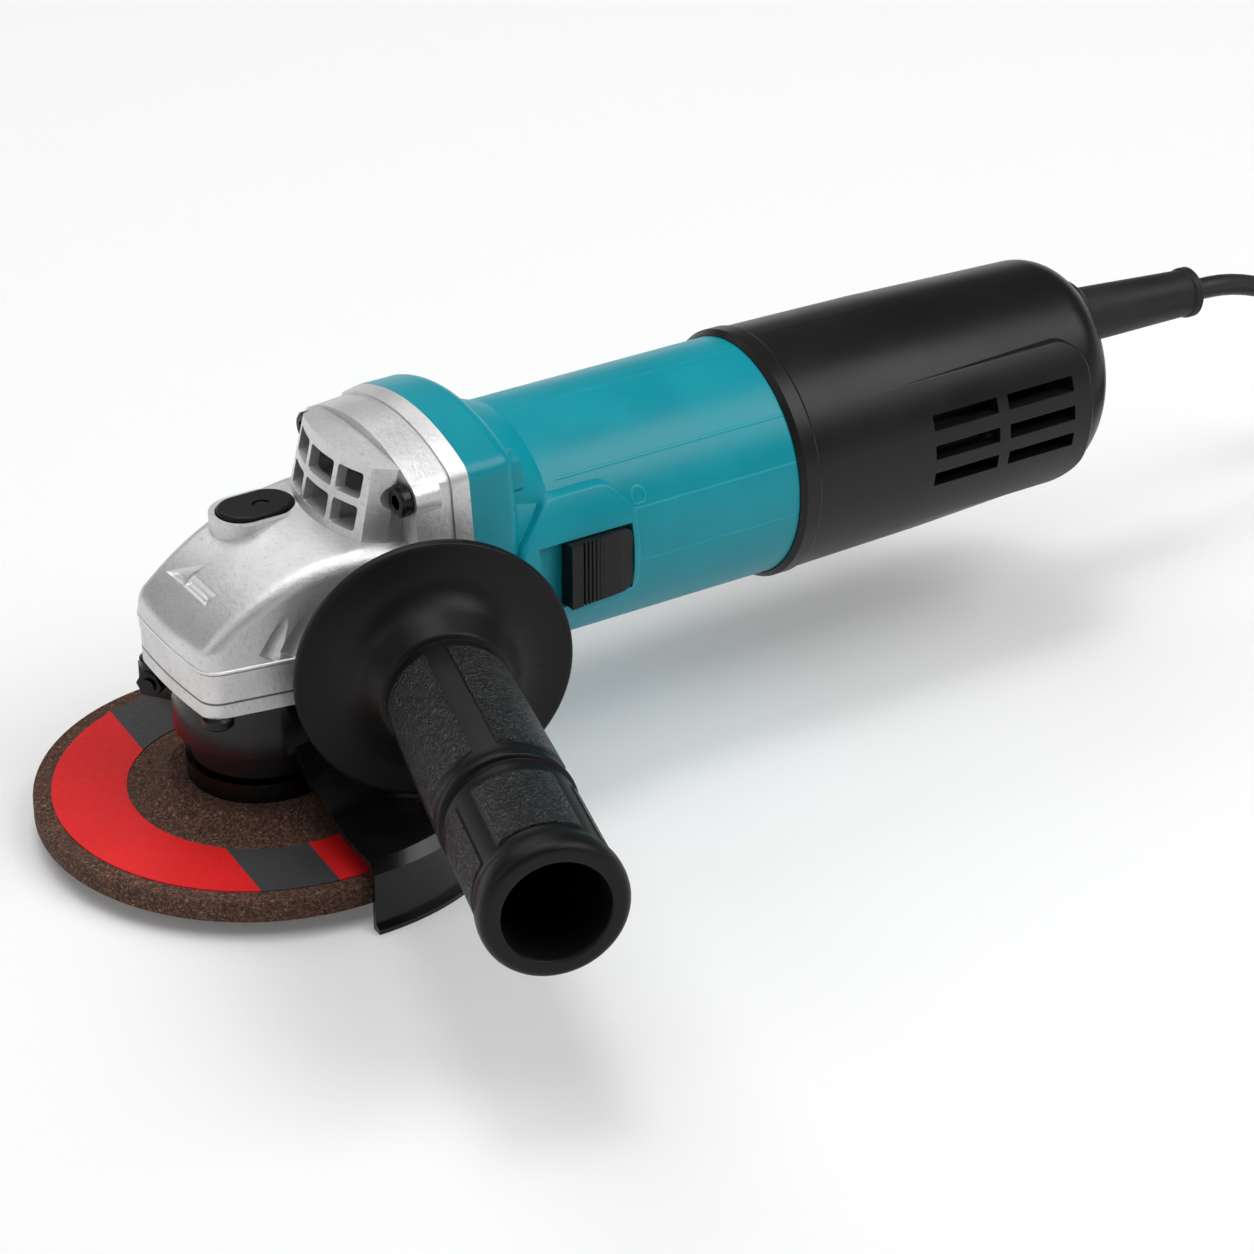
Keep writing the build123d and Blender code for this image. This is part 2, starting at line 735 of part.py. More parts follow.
def side_flutes():
    """Shallow slanted flutes in both sides of the nose, beside the handle holes."""
    cutters = []
    for ends in FLUTES:
        line = []
        for (x, z), depth in zip(ends, (-0.2 * FLUTE_DEPTH, FLUTE_DEPTH)):
            wall_y = nose_half_width(x) - (z - RIDGE_Z) * tan(radians(NOSE_DRAFT))
            line.append((x, -wall_y - FLUTE_R + depth, z))
        cutters.extend(mirrored(rod(*line, FLUTE_R)))
    return cutters


def louvre_windows():
    """Rounded windows cut through the hump's front wall along X."""
    cutters = []
    for z_low, z_high in WINDOW_ROWS:
        for y_low, y_high in WINDOW_COLUMNS:
            centre = ((y_low + y_high) / 2, (z_low + z_high) / 2)
            face = RectangleRounded(y_high - y_low, z_high - z_low, WINDOW_CORNER_R)
            place = Plane(origin=(HUMP_FRONT_X - 4, *centre), x_dir=(0, 1, 0), z_dir=(1, 0, 0))
            cutters.append(extrude(place * face, 16.0))
    return cutters


def button_outline(grow):
    return SlotOverall(BUTTON_L + 2 * grow, BUTTON_W + 2 * grow)


def button_cutter(low, high, grow):
    return extrude(Pos(BUTTON_X, BUTTON_Y, low) * button_outline(grow), high - low)


LOCK_PIN_X = BUTTON_X - BUTTON_L / 2 + 6.6
LOCK_PIN_Y = sqrt(LOCK_CIRCLE_R**2 - LOCK_PIN_X**2)


def gear_housing():
    # The nose: a drafted block whose top bends down to the front
    block_top = HUMP_TOP_Z
    upper = extrude(Pos(0, 0, RIDGE_Z) * nose_plan(BELL_X), block_top - RIDGE_Z, taper=NOSE_DRAFT)
    side = 2 * NOSE_HALF_W
    crown = rod((NOSE_ARC_X, -side, NOSE_ARC_Z), (NOSE_ARC_X, side, NOSE_ARC_Z), NOSE_ARC_R)
    upper = upper & crown
    top_face = upper.faces().sort_by(SortBy.AREA)[::-1].filter_by(GeomType.CYLINDER)[0]
    rim = top_face.edges().filter_by(lambda e: e.center().X < BELL_X - 8)
    upper = fillet(rim, NOSE_EDGE_R)
    lower = extrude(Pos(0, 0, BOX_TOP_Z) * nose_plan(BELL_X, RIDGE_STEP), RIDGE_Z - BOX_TOP_Z)
    band = extrude(Pos(0, 0, RIDGE_Z - RIDGE_BAND) * nose_plan(BELL_X, RIDGE_STEP / 2), RIDGE_BAND)
    # The bell towards the motor, drafted to the front
    bell = loft([bell_section(BELL_FRONT_X, BELL_DRAFT), bell_section(RING_X, 2 * RING_STEP)], ruled=True)
    ring = loft([bell_section(RING_X, RING_STEP), bell_section(JOINT_X, 0)], ruled=True)
    hump = loft([hump_plan(HUMP_BASE_Z), hump_plan(HUMP_TOP_Z)], ruled=True) & hump_roof(0)
    screw_bosses = [
        rod_x(HOUSING_SCREW_X, BELL_X + 2, M5[1] + 2 * APART, side * y, z)
        for y, z in HOUSING_SCREWS
        for side in (-1, 1)
    ]
    collar = button_cutter(RIDGE_Z + 8, BUTTON_TOP_Z - 1.2, 2.0)
    body = upper + [lower, band, bell, ring, hump, collar, *handle_bosses(), *screw_bosses]
    # Hollows: gear chamber, shaft tunnel, bearing seat, fan chamber and exhaust duct
    cavity_low = BOX_TOP_Z - 1
    cuts = [
        turned(
            [(0, cavity_low), (CAVITY_R, cavity_low), (CAVITY_R, CAVITY_WALL_TOP_Z), (CAVITY_UPPER_R, CAVITY_CONE_Z),
             (CAVITY_UPPER_R, CAVITY_TOP_Z), (0, CAVITY_TOP_Z)],
            SPINDLE,
        ),
        *side_flutes(),
        rod_z(0, 0, CAVITY_TOP_Z - 1, BUSH_Z + BUSH_L, BUSH_R + 0.02),
        rod_x(0, FRONT_BEARING_X + 1, TUNNEL_R),
        rod_x(FRONT_BEARING_X, BELL_X + 4, FRONT_BEARING[0] + 0.02),
        loft([bell_section(BELL_X + FRONT_WALL, BELL_WALL + 1.2), bell_section(JOINT_X + 1, BELL_WALL)], ruled=True),
        block((JOINT_X, JOINT_X + 40), (-80, 80), (0, 120)),
        duct(),
        *louvre_windows(),
        *handle_holes(),
        button_cutter(BUTTON_TOP_Z - BUTTON_T - BUTTON_TRAVEL - 0.6, BUTTON_TOP_Z + 6, APART),
        rod_z(LOCK_PIN_X, LOCK_PIN_Y, CAVITY_TOP_Z - 2, BUTTON_TOP_Z, LOCK_PIN_R + RUN),
        *screw_holes(),
        extrude(Pos(0, 0, BOX_PLATE_Z - 4) * nose_plan(box_plate_end() + APART, RIDGE_STEP - APART), 4 + BOX_PLATE_T),
    ]
    return body - cuts


def duct():
    """The exhaust passage inside the hump, open to the fan chamber."""
    inner = loft([hump_plan(DUCT_FLOOR_Z, HUMP_WALL), hump_plan(HUMP_TOP_Z - DUCT_ROOF, HUMP_WALL)], ruled=True)
    mouth = block(
        (BELL_X - 6, BELL_X + FRONT_WALL + 1),
        (-HUMP_CORNER_Y, HUMP_CORNER_Y),
        (DUCT_FLOOR_Z, HUMP_TOP_Z - DUCT_ROOF),
    )
    return (inner + mouth) & hump_roof(DUCT_ROOF)


def screw_holes():
    """Clearance holes in the gear housing for its own screws and for those of the bearing box."""
    shank_r = M5[0] + SCREW_PLAY
    holes = [
        rod_z(x, side * y, BOX_TOP_Z - 1, BOX_PLATE_Z + BOX_SCREW_L + 1, shank_r)
        for x, y in BOX_SCREWS
        for side in (-1, 1)
    ]
    for y, z in HOUSING_SCREWS:
        for side in (-1, 1):
            holes.append(rod_x(HOUSING_SCREW_X - 1, JOINT_X + 1, shank_r, side * y, z))
            head_room = M5[1] + 2 * SCREW_PLAY
            holes.append(rod_x(HOUSING_SCREW_X - 16, HOUSING_SCREW_X, head_room, side * y, z))
    return holes


def box_plate_end():
    return BOX_SCREWS[1][0] + M5[1] + 1.6


def bearing_box():
    plate = extrude(Pos(0, 0, BOX_PLATE_Z) * nose_plan(box_plate_end(), RIDGE_STEP), BOX_PLATE_T)
    plate = fillet(plate.edges().filter_by(Axis.Z).sort_by(Axis.X)[-2:], 4.0)
    neck = rod_z(0, 0, NECK_BOTTOM_Z, BOX_PLATE_Z, NECK_R)
    spigot = rod_z(0, 0, BOX_TOP_Z, BOX_TOP_Z + BOX_SPIGOT_L, CAVITY_R - SEAT)
    body = plate + neck + spigot
    pocket_r = SPINDLE_BEARING[0] + 0.02
    groove_z = BOX_TOP_Z + (BOX_SPIGOT_L - 2 * O_RING_R) / 2
    groove = rod_z(0, 0, groove_z - SEAT, groove_z + 2 * O_RING_R + SEAT, CAVITY_R) - rod_z(
        0, 0, groove_z - SEAT, groove_z + 2 * O_RING_R + SEAT, CAVITY_R - 2 * O_RING_R - 2 * SEAT
    )
    holes = [
        rod_z(x, side * y, BOX_PLATE_Z - 1, BOX_TOP_Z + 1, M5[0] + SCREW_PLAY)
        for x, y in BOX_SCREWS
        for side in (-1, 1)
    ]
    bore = rod_z(0, 0, NECK_BOTTOM_Z - 1, BEARING_Z + 1, SPINDLE_R + APART)
    return body - [rod_z(0, 0, BEARING_Z, BOX_TOP_Z + BOX_SPIGOT_L + 1, pocket_r), bore, groove, *holes]


def o_ring():
    middle_z = BOX_TOP_Z + BOX_SPIGOT_L / 2
    return Pos(0, 0, middle_z) * Torus(CAVITY_R - O_RING_R - SEAT, O_RING_R)


def dust_ring():
    low = NECK_BOTTOM_Z - DUST_RING_L
    return rod_z(0, 0, low, NECK_BOTTOM_Z, DUST_RING_R) - rod_z(
        0, 0, low, NECK_BOTTOM_Z, SPINDLE_R + 2 * APART
    )


def socket_screw(size, length, seat, direction):
    """Screw with a round head and a hexagon socket; the head stands on `seat`, the shank runs along `direction`."""
    shank_r, head_r, head_h = size
    seat, direction = Vector(*seat), Vector(*direction)
    body = rod(seat, seat + direction * length, shank_r)
    head = rod(seat - direction * head_h, seat, head_r)
    head = chamfer(head.edges().filter_by(GeomType.CIRCLE), head_h / 5)
    place = Plane(origin=seat - direction * head_h, z_dir=direction)
    socket = extrude(place * RegularPolygon(head_r * 0.52, 6), head_h * 0.55)
    return body + head - socket


def bearing_box_screws():
    return group(
        socket_screw(M5, BOX_SCREW_L, (x, side * y, BOX_PLATE_Z), (0, 0, 1))
        for x, y in BOX_SCREWS
        for side in (-1, 1)
    )


def gear_housing_screws():
    return group(
        socket_screw(M5, HOUSING_SCREW_L, (HOUSING_SCREW_X, side * y, z), (1, 0, 0))
        for y, z in HOUSING_SCREWS
        for side in (-1, 1)
    )


# Shaft lock

def shaft_lock_button():
    low = BUTTON_TOP_Z - BUTTON_T
    cap = extrude(Pos(BUTTON_X, BUTTON_Y, low) * button_outline(0), BUTTON_T)
    cap = fillet(cap.faces().sort_by(Axis.Z)[-1].edges(), 1.0)
    dimple = Pos(BUTTON_X + 1.0, BUTTON_Y - 1.5, BUTTON_TOP_Z) * (
        Cylinder(2.4, 1.0) - Cylinder(1.5, 1.0) - Pos(0, -2.0, 0) * Box(6, 4, 2)
    )
    return cap - dimple - rod_z(LOCK_PIN_X, LOCK_PIN_Y, low - 1, low + 2.2, LOCK_PIN_R + 0.02)


def shaft_lock_pin():
    top = BUTTON_TOP_Z - BUTTON_T + 2.0
    return chamfer(
        rod_z(LOCK_PIN_X, LOCK_PIN_Y, LOCK_PIN_TIP_Z, top, LOCK_PIN_R).edges().sort_by(Axis.Z)[:1], 0.5
    )


def shaft_lock_spring():
    low = BUTTON_TOP_Z - BUTTON_T - BUTTON_TRAVEL - 0.6
    high = BUTTON_TOP_Z - BUTTON_T
    outer = rod_z(LOCK_PIN_X, LOCK_PIN_Y, low, high, LOCK_SPRING_R)
    return outer - rod_z(LOCK_PIN_X, LOCK_PIN_Y, low, high, LOCK_SPRING_R - LOCK_SPRING_WALL)


# Wheel guard

def guard_profile():
    """Section of the guard: step under the collar, dished plate, shoulder, skirt and rolled lip."""
    inner_r = NECK_R + SEAT
    collar_r = inner_r + COLLAR_WALL
    skirt_in = GUARD_R - GUARD_T
    lip_r = GUARD_R + GUARD_LIP
    outside = [
        (collar_r, NECK_BOTTOM_Z + 1.5 * GUARD_T),
        (GUARD_STEP_R + 0.7, GUARD_STEP_Z + GUARD_T),
        (GUARD_FLAT_R, GUARD_TOP_Z),
        (GUARD_R - GUARD_SHOULDER, GUARD_TOP_Z),
        (GUARD_R, GUARD_TOP_Z - GUARD_SHOULDER),
        (GUARD_R, GUARD_BOTTOM_Z + GUARD_LIP_T + GUARD_LIP / 2),
        (lip_r, GUARD_BOTTOM_Z + GUARD_LIP_T),
        (lip_r, GUARD_BOTTOM_Z),
    ]
    inside = [
        (skirt_in, GUARD_BOTTOM_Z),
        (skirt_in, GUARD_TOP_Z - GUARD_SHOULDER - 0.4 * GUARD_T),
        (GUARD_R - GUARD_SHOULDER - 0.4 * GUARD_T, GUARD_TOP_Z - GUARD_T),
        (GUARD_FLAT_R - 0.15, GUARD_TOP_Z - GUARD_T),
        (GUARD_STEP_R, GUARD_STEP_Z),
        (inner_r, NECK_BOTTOM_Z),
        (inner_r, NECK_BOTTOM_Z + 1.5 * GUARD_T),
    ]
    return outside + inside


def wheel_guard():
    inner_r = NECK_R + SEAT
    collar_r = inner_r + COLLAR_WALL
    shell = turned(guard_profile(), SPINDLE, -GUARD_HALF_SPAN, 2 * GUARD_HALF_SPAN)
    collar = rod_z(0, 0, NECK_BOTTOM_Z, COLLAR_TOP_Z, collar_r) - rod_z(
        0, 0, NECK_BOTTOM_Z, COLLAR_TOP_Z, inner_r
    )
    side = LUG_GAP / 2
    lugs = [
        block((collar_r - COLLAR_WALL / 2, collar_r + LUG_REACH), pair, LUG_Z).rotate(Axis.Z, LUG_ANGLE)
        for pair in ((-side - LUG_T, -side), (side, side + LUG_T))
    ]
    slit = block((0, 2 * collar_r), (-side, side), (NECK_BOTTOM_Z - 1, COLLAR_TOP_Z + 1)).rotate(
        Axis.Z, LUG_ANGLE
    )
    guard = shell + collar + lugs - slit
    return guard - rod(*clamp_line(LUG_T + side + 1), M4[0] + SCREW_PLAY)


def clamp_line(half):
    """End points of the clamp screw's line, square to the lugs."""
    middle = Vector(NECK_R + SEAT + COLLAR_WALL + LUG_REACH / 2 + 0.6, 0, (LUG_Z[0] + LUG_Z[1]) / 2)
    ends = [(middle + Vector(0, side * half, 0)).rotate(Axis.Z, LUG_ANGLE) for side in (-1, 1)]
    return ends


def guard_clamp_screw():
    half = LUG_T + LUG_GAP / 2
    start, end = clamp_line(half)
    along = (end - start).normalized()
    screw = socket_screw(M4, 2 * half + 3.4, start, along)
    place = Plane(origin=end, z_dir=along)
    nut = extrude(place * RegularPolygon(3.6, 6), 2.6) - rod(end - along, end + along * 5, M4[0] + 0.02)
    return group([screw, nut])


# Motor housing

def pad_outline():
    """Side outline of the raised pad round the switch: an arch that is taller over the knob."""
    low_x, high_x = PAD_X
    points = [
        (low_x, MOTOR_Z + 8.5),
        (low_x + 10.5, MOTOR_Z + PAD_TOP),
        (high_x - 6.0, MOTOR_Z + PAD_TOP),
        (high_x, MOTOR_Z + 12.0),
        (high_x, MOTOR_Z - 9.0),
        (high_x - 5.0, MOTOR_Z - PAD_BOTTOM),
        (low_x + 5.0, MOTOR_Z - PAD_BOTTOM),
        (low_x, MOTOR_Z - 8.5),
    ]
    face = make_face(Polyline(*points, close=True))
    return fillet(face.vertices(), PAD_CORNER_R)


def knob_pocket():
    """The recess that the knob slides in, with its front end open to the travel."""
    return block(
        (KNOB_X[0] - SWITCH_TRAVEL - 1.2, KNOB_X[1] + APART),
        (-KNOB_TOP_Y - 4, -KNOB_SINK_Y + APART),
        (MOTOR_Z - KNOB_HALF_H - APART, MOTOR_Z + KNOB_HALF_H + APART),
    )


def motor_housing():
    flange = extrude(bell_section(JOINT_X, 0), SHOULDER_X - JOINT_X)
    flange = fillet(flange.faces().sort_by(Axis.X)[-1].edges(), SHOULDER_ROUND)
    neck_circle = Plane(origin=(NECK_X, 0, MOTOR_Z), x_dir=(0, 1, 0), z_dir=(1, 0, 0)) * Circle(BARREL_R - 2 * RUN)
    shoulder = loft([bell_section(SHOULDER_X - 1, 1.15 * SHOULDER_ROUND), neck_circle], ruled=True)
    barrel = rod_x(SHOULDER_X - SHOULDER_ROUND - 2, BARREL_END_X, BARREL_R)
    spigot = rod_x(BARREL_END_X - 1, SPIGOT_END_X, SPIGOT_R)
    outline = Plane(origin=(0, 0, 0), x_dir=(1, 0, 0), z_dir=(0, -1, 0)) * pad_outline()
    pad = extrude(outline, KNOB_TOP_Y + 4) & rod_x(PAD_X[0] - 1, PAD_X[1] + 1, PAD_R)
    pad = fillet(pad.faces().filter_by(GeomType.CYLINDER).sort_by(Axis.Y)[0].edges(), PAD_EDGE_R)
    body = flange + [shoulder, barrel, spigot, pad]
    bulk_x = SPIGOT_END_X - BULKHEAD_T
    spigot_bore = SPIGOT_R - SPIGOT_WALL
    body -= [
        rod_x(JOINT_X - 1, BARREL_END_X - 3, BARREL_BORE_R),
        rod_x(BARREL_END_X - 4, bulk_x, spigot_bore),
        knob_pocket(),
        knob_slot(),
    ]
    # Rear bearing seat on a spoked bulkhead, posts for the field screws
    seat_r = REAR_BEARING[0] + RUBBER_T + 0.02
    body += rod_x(BEARING_REAR_X - 0.5, SPIGOT_END_X, REAR_BOSS_R)
    spokes = [
        turned(
            [(REAR_BOSS_R + 1, bulk_x - 1), (spigot_bore - 1, bulk_x - 1), (spigot_bore - 1, SPIGOT_END_X + 1),
             (REAR_BOSS_R + 1, SPIGOT_END_X + 1)],
            MOTOR, start, 64,
        )
        for start in (13, 103, 193, 283)
    ]
    posts = [
        block((FIELD_X[1], FIELD_POST_END_X), (-4.5, 4.5), (MOTOR_Z + FIELD_SCREW_R - 4, MOTOR_Z + BARREL_BORE_R + 1)),
        block((FIELD_X[1], FIELD_POST_END_X), (-4.5, 4.5), (MOTOR_Z - BARREL_BORE_R - 1, MOTOR_Z - FIELD_SCREW_R + 4)),
    ]
    body += posts
    bosses = [
        rod_x(JOINT_X, HOUSING_SCREW_X + HOUSING_SCREW_L + 3, SCREW_BOSS_R, side * y, z)
        & loft([bell_section(JOINT_X, 1.0), bell_section(JOINT_X + 20, 1.0)], ruled=True)
        for y, z in HOUSING_SCREWS
        for side in (-1, 1)
    ]
    body += bosses
    holes = [
        rod_x(JOINT_X - 1, HOUSING_SCREW_X + HOUSING_SCREW_L + 1, M5[0] + SCREW_PLAY, side * y, z)
        for y, z in HOUSING_SCREWS
        for side in (-1, 1)
    ]
    field_holes = [
        rod_x(FIELD_X[1] - 1, FIELD_POST_END_X - 1, M3[0] + SCREW_PLAY, 0, MOTOR_Z + side * FIELD_SCREW_R)
        for side in (-1, 1)
    ]
    fan_room = rod_x(JOINT_X - 1, FIELD_X[0], BARREL_BORE_R)
    return body - [
        rod_x(BEARING_REAR_X - 1, BEARING_REAR_X + REAR_BEARING[2], seat_r), *spokes, *holes, *field_holes, fan_room,
        rod_passage(), *cover_screw_holes(M3[0] + SCREW_PLAY),
    ]


def knob_slot():
    """Opening in the barrel's wall for the stem between knob and rod."""
    return block(
        (STEM_X[0] - SWITCH_TRAVEL - APART, STEM_X[1] + APART),
        (-KNOB_SINK_Y - 1, -ROD_Y[0]),
        (MOTOR_Z - STEM_HALF_H - APART, MOTOR_Z + STEM_HALF_H + APART),
    )


def rod_passage():
    """Passage for the switch rod through the rear end of the motor housing."""
    return block(
        (FIELD_X[0] - 12, SPIGOT_END_X + 1),
        (-ROD_Y[1] - APART, -ROD_Y[0] + APART),
        (MOTOR_Z - ROD_HALF_H - APART, MOTOR_Z + ROD_HALF_H + APART),
    )


# Switch

def switch_knob():
    low, high = KNOB_X
    side = Plane(origin=(0, 0, MOTOR_Z), x_dir=(1, 0, 0), z_dir=(0, 0, 1))
    profile = make_face(
        Polyline(
            (low, -KNOB_SINK_Y), (low, -KNOB_TOP_Y), (high - 4, -KNOB_REAR_Y), (high, -KNOB_REAR_Y + 0.8),
            (high, -KNOB_SINK_Y), close=True,
        )
    )
    body = extrude(Pos(0, 0, MOTOR_Z - KNOB_HALF_H) * profile, 2 * KNOB_HALF_H)
    rear = body.edges().filter_by(Axis.Y).sort_by(Axis.X)[-2:]
    body = fillet(rear, 3.0)
    ribs = [
        block(
            (KNOB_RIB_X + i * KNOB_RIB_STEP, KNOB_RIB_X + (i + 0.5) * KNOB_RIB_STEP),
            (-KNOB_TOP_Y - 1, -KNOB_TOP_Y + KNOB_RIB_DEPTH + 0.5),
            (MOTOR_Z - KNOB_HALF_H - 1, MOTOR_Z + KNOB_HALF_H + 1),
        )
        for i in range(KNOB_RIBS)
    ]
    stem = block(STEM_X, (-KNOB_SINK_Y, -ROD_Y[1]), (MOTOR_Z - STEM_HALF_H, MOTOR_Z + STEM_HALF_H))
    return body - ribs + stem


def switch_rod():
    bar = block(
        (STEM_X[0] - 4, ROD_END_X), (-ROD_Y[1], -ROD_Y[0]), (MOTOR_Z - ROD_HALF_H, MOTOR_Z + ROD_HALF_H)
    )
    return bar


def switch_unit():
    body = block(
        SWITCH_X, (-SWITCH_Y[1], -SWITCH_Y[0]), (MOTOR_Z - SWITCH_HALF_H, MOTOR_Z + SWITCH_HALF_H)
    )
    body = fillet(body.edges().filter_by(Axis.X), 1.2)
    terminals = [
        block((SWITCH_X[1], SWITCH_X[1] + 5), (-SWITCH_Y[1] + 4, -SWITCH_Y[1] + 5), (z - 2, z + 2))
        for z in (MOTOR_Z - 5, MOTOR_Z + 5)
    ]
    return body + terminals


# Motor

def sector(r_in, r_out, low, high, centre, half, x_low, x_high):
    return turned([(r_in, x_low), (r_out, x_low), (r_out, x_high), (r_in, x_high)], MOTOR, centre - half, 2 * half)


def field_core():
    x_low, x_high = FIELD_X
    body = rod_x(x_low, x_high, FIELD_R) & block(
        (x_low, x_high), (-FIELD_FLAT_Y, FIELD_FLAT_Y), (MOTOR_Z - FIELD_R, MOTOR_Z + FIELD_R)
    )
    half = 90 - POLE_DEG
    slots = [
        sector(COIL_R[0] - SLOT_PLAY, COIL_R[1] + SLOT_PLAY, 0, 0, centre, half, x_low - 1, x_high + 1)
        for centre in (90, 270)
    ]
    mouths = [
        sector(FIELD_BORE_R - 1, COIL_R[0], 0, 0, centre, COIL_EDGE_DEG * 2, x_low - 1, x_high + 1)
        for centre in (90, 270)
    ]
    holes = [
        rod_x(x_low - 1, x_high + 1, M3[0] + SCREW_PLAY, 0, MOTOR_Z + side * FIELD_SCREW_R) for side in (-1, 1)
    ]
    return body - [rod_x(x_low - 1, x_high + 1, FIELD_BORE_R), *slots, *mouths, *holes]


def field_coils():
    x_low, x_high = FIELD_X[0] - COIL_END, FIELD_X[1] + COIL_END
    coils = []
    for centre in (0, 180):
        loop = sector(*COIL_R, 0, 0, centre, 90 - COIL_EDGE_DEG, x_low, x_high)
        window = sector(
            COIL_R[0] - 1, COIL_R[1] + 1, 0, 0, centre, POLE_DEG + 1.5, FIELD_X[0] - SLOT_PLAY, FIELD_X[1] + SLOT_PLAY
        )
        coils.append(loop - window)
    return group(coils)


def field_screws():
    return group(
        socket_screw(M3, FIELD_POST_END_X - FIELD_X[0] - 3, (FIELD_X[0], 0, MOTOR_Z + side * FIELD_SCREW_R), (1, 0, 0))
        for side in (-1, 1)
    )


def armature_shaft():
    nose = pinion_toe_x() - 3.2
    rear = BEARING_REAR_X + REAR_BEARING[2]
    profile = [
        (0, nose),
        (PINION_BORE_R, nose),
        (PINION_BORE_R, FRONT_BEARING_X),
        (SHAFT_R, FRONT_BEARING_X),
        (SHAFT_R, BEARING_REAR_X),
        (REAR_BEARING[1], BEARING_REAR_X),
        (REAR_BEARING[1], rear),
        (0, rear),
    ]
    return turned(profile, MOTOR)


def armature_core():
    x_low, x_high = FIELD_X
    hole = rod_x(x_low - 1, x_high + 1, SLOT_R, 0, MOTOR_Z + SLOT_CIRCLE_R)
    mouth = block((x_low - 1, x_high + 1), (-SLOT_MOUTH / 2, SLOT_MOUTH / 2), (MOTOR_Z + SLOT_CIRCLE_R, MOTOR_Z + ARMATURE_R + 1))
    body = rod_x(x_low, x_high, ARMATURE_R) - rod_x(x_low, x_high, SHAFT_R)
    return body - around(hole + mouth, ARMATURE_SLOTS, MOTOR_AXIS)


def armature_windings():
    x_low, x_high = FIELD_X
    inner, outer = WINDING_R
    ends = []
    for face, away in ((x_low, -1), (x_high, 1)):
        far = face + away * WINDING_END
        ends.append(
            turned(
                [(inner, face), (outer, face), (outer, face + away * WINDING_END * 0.45),
                 (outer - 2.5, far - away), (outer - 4.5, far), (inner, far)],
                MOTOR,
            )
        )
    bar = rod_x(x_low, x_high, SLOT_R - SEAT, 0, MOTOR_Z + SLOT_CIRCLE_R - SEAT)
    windings = ends[0] + ends[1]
    return windings + [b & rod_x(x_low, x_high, outer) for b in around(bar, ARMATURE_SLOTS, MOTOR_AXIS)]


def commutator():
    x_low, x_high = COMMUTATOR_X
    body = rod_x(x_low, x_high, COMMUTATOR_R) + rod_x(x_low - 2.4, x_low, COMMUTATOR_R + COMMUTATOR_RISER)
    body -= rod_x(x_low - 3, x_high + 1, SHAFT_R)
    cut = block(
        (x_low - 3, x_high + 1), (-BAR_GAP / 2, BAR_GAP / 2), (MOTOR_Z + COMMUTATOR_R - 1, MOTOR_Z + COMMUTATOR_R + 3)
    )
    return body - around(cut, COMMUTATOR_BARS, MOTOR_AXIS)


def fan():
    x_low, x_high = FAN_X
    hub = rod_x(x_low, x_high, FAN_HUB_R)
    plate = rod_x(x_low, x_low + FAN_PLATE_T, FAN_R)
    blade = block(
        (x_low + FAN_PLATE_T / 2, x_high), (-FAN_BLADE_T / 2, FAN_BLADE_T / 2), (MOTOR_Z + FAN_HUB_R + 4, MOTOR_Z + FAN_R - 0.5)
    )
    blade = blade.rotate(Axis((0, 0, MOTOR_Z + FAN_R), (1, 0, 0)), 24)
    return hub + plate + around(blade, FAN_BLADES, MOTOR_AXIS) - rod_x(x_low - 1, x_high + 1, SHAFT_R)


def baffle_ring():
    outer_r = BARREL_BORE_R - SEAT
    disc = rod_x(BAFFLE_X, BAFFLE_X + BAFFLE_T, outer_r) + rod_x(BAFFLE_X, BAFFLE_X + 5, outer_r)
    disc -= rod_x(BAFFLE_X + BAFFLE_T, BAFFLE_X + 6, outer_r - 1.6)
    return disc - rod_x(BAFFLE_X - 1, BAFFLE_X + 6, BAFFLE_BORE_R)


def brush_parts():
    """Holders, carbon brushes and springs above and below the commutator."""
    width, depth, length = BRUSH
    r_low, r_high = HOLDER_R
    play = SEAT
    holders, brushes, springs = [], [], []
    for side in (-1, 1):
        def span(near, far):
            ends = sorted((MOTOR_Z + side * near, MOTOR_Z + side * far))
            return ends[0], ends[1]

        outer = block(
            (BRUSH_X - width / 2 - HOLDER_WALL, BRUSH_X + width / 2 + HOLDER_WALL),
            (-depth / 2 - HOLDER_WALL, depth / 2 + HOLDER_WALL), span(r_low, r_high),
        )
        hollow = block(
            (BRUSH_X - width / 2 - play, BRUSH_X + width / 2 + play),
            (-depth / 2 - play, depth / 2 + play), span(r_low - 1, r_high - HOLDER_WALL),
        )
        holders.append(outer - hollow)
        brush = block(
            (BRUSH_X - width / 2, BRUSH_X + width / 2), (-depth / 2, depth / 2),
            span(COMMUTATOR_R - 3, COMMUTATOR_R + length),
        )
        brushes.append(brush - rod_x(BRUSH_X - 2 * width, BRUSH_X + 2 * width, COMMUTATOR_R + RUN))
        centre_z = span(COMMUTATOR_R + length, r_high - HOLDER_WALL)
        springs.append(
            rod_z(BRUSH_X, 0, *centre_z, width / 2 - 0.4) - rod_z(BRUSH_X, 0, *centre_z, width / 2 - 1.2)
        )
    return group(holders), group(brushes), group(springs)


def rear_bearing_rubber():
    low, high = BEARING_REAR_X, BEARING_REAR_X + REAR_BEARING[2]
    outer_r = REAR_BEARING[0] + RUBBER_T
    return rod_x(low, high, outer_r) - rod_x(low, high, REAR_BEARING[0])


def front_bearing_retainer():
    low = FRONT_BEARING_END
    plate = rod_x(low, low + 1.6, FRONT_BEARING[0] - SEAT)
    return plate - rod_x(low - 1, low + 3, FRONT_BEARING[0] - 3.0)


# Rear cover

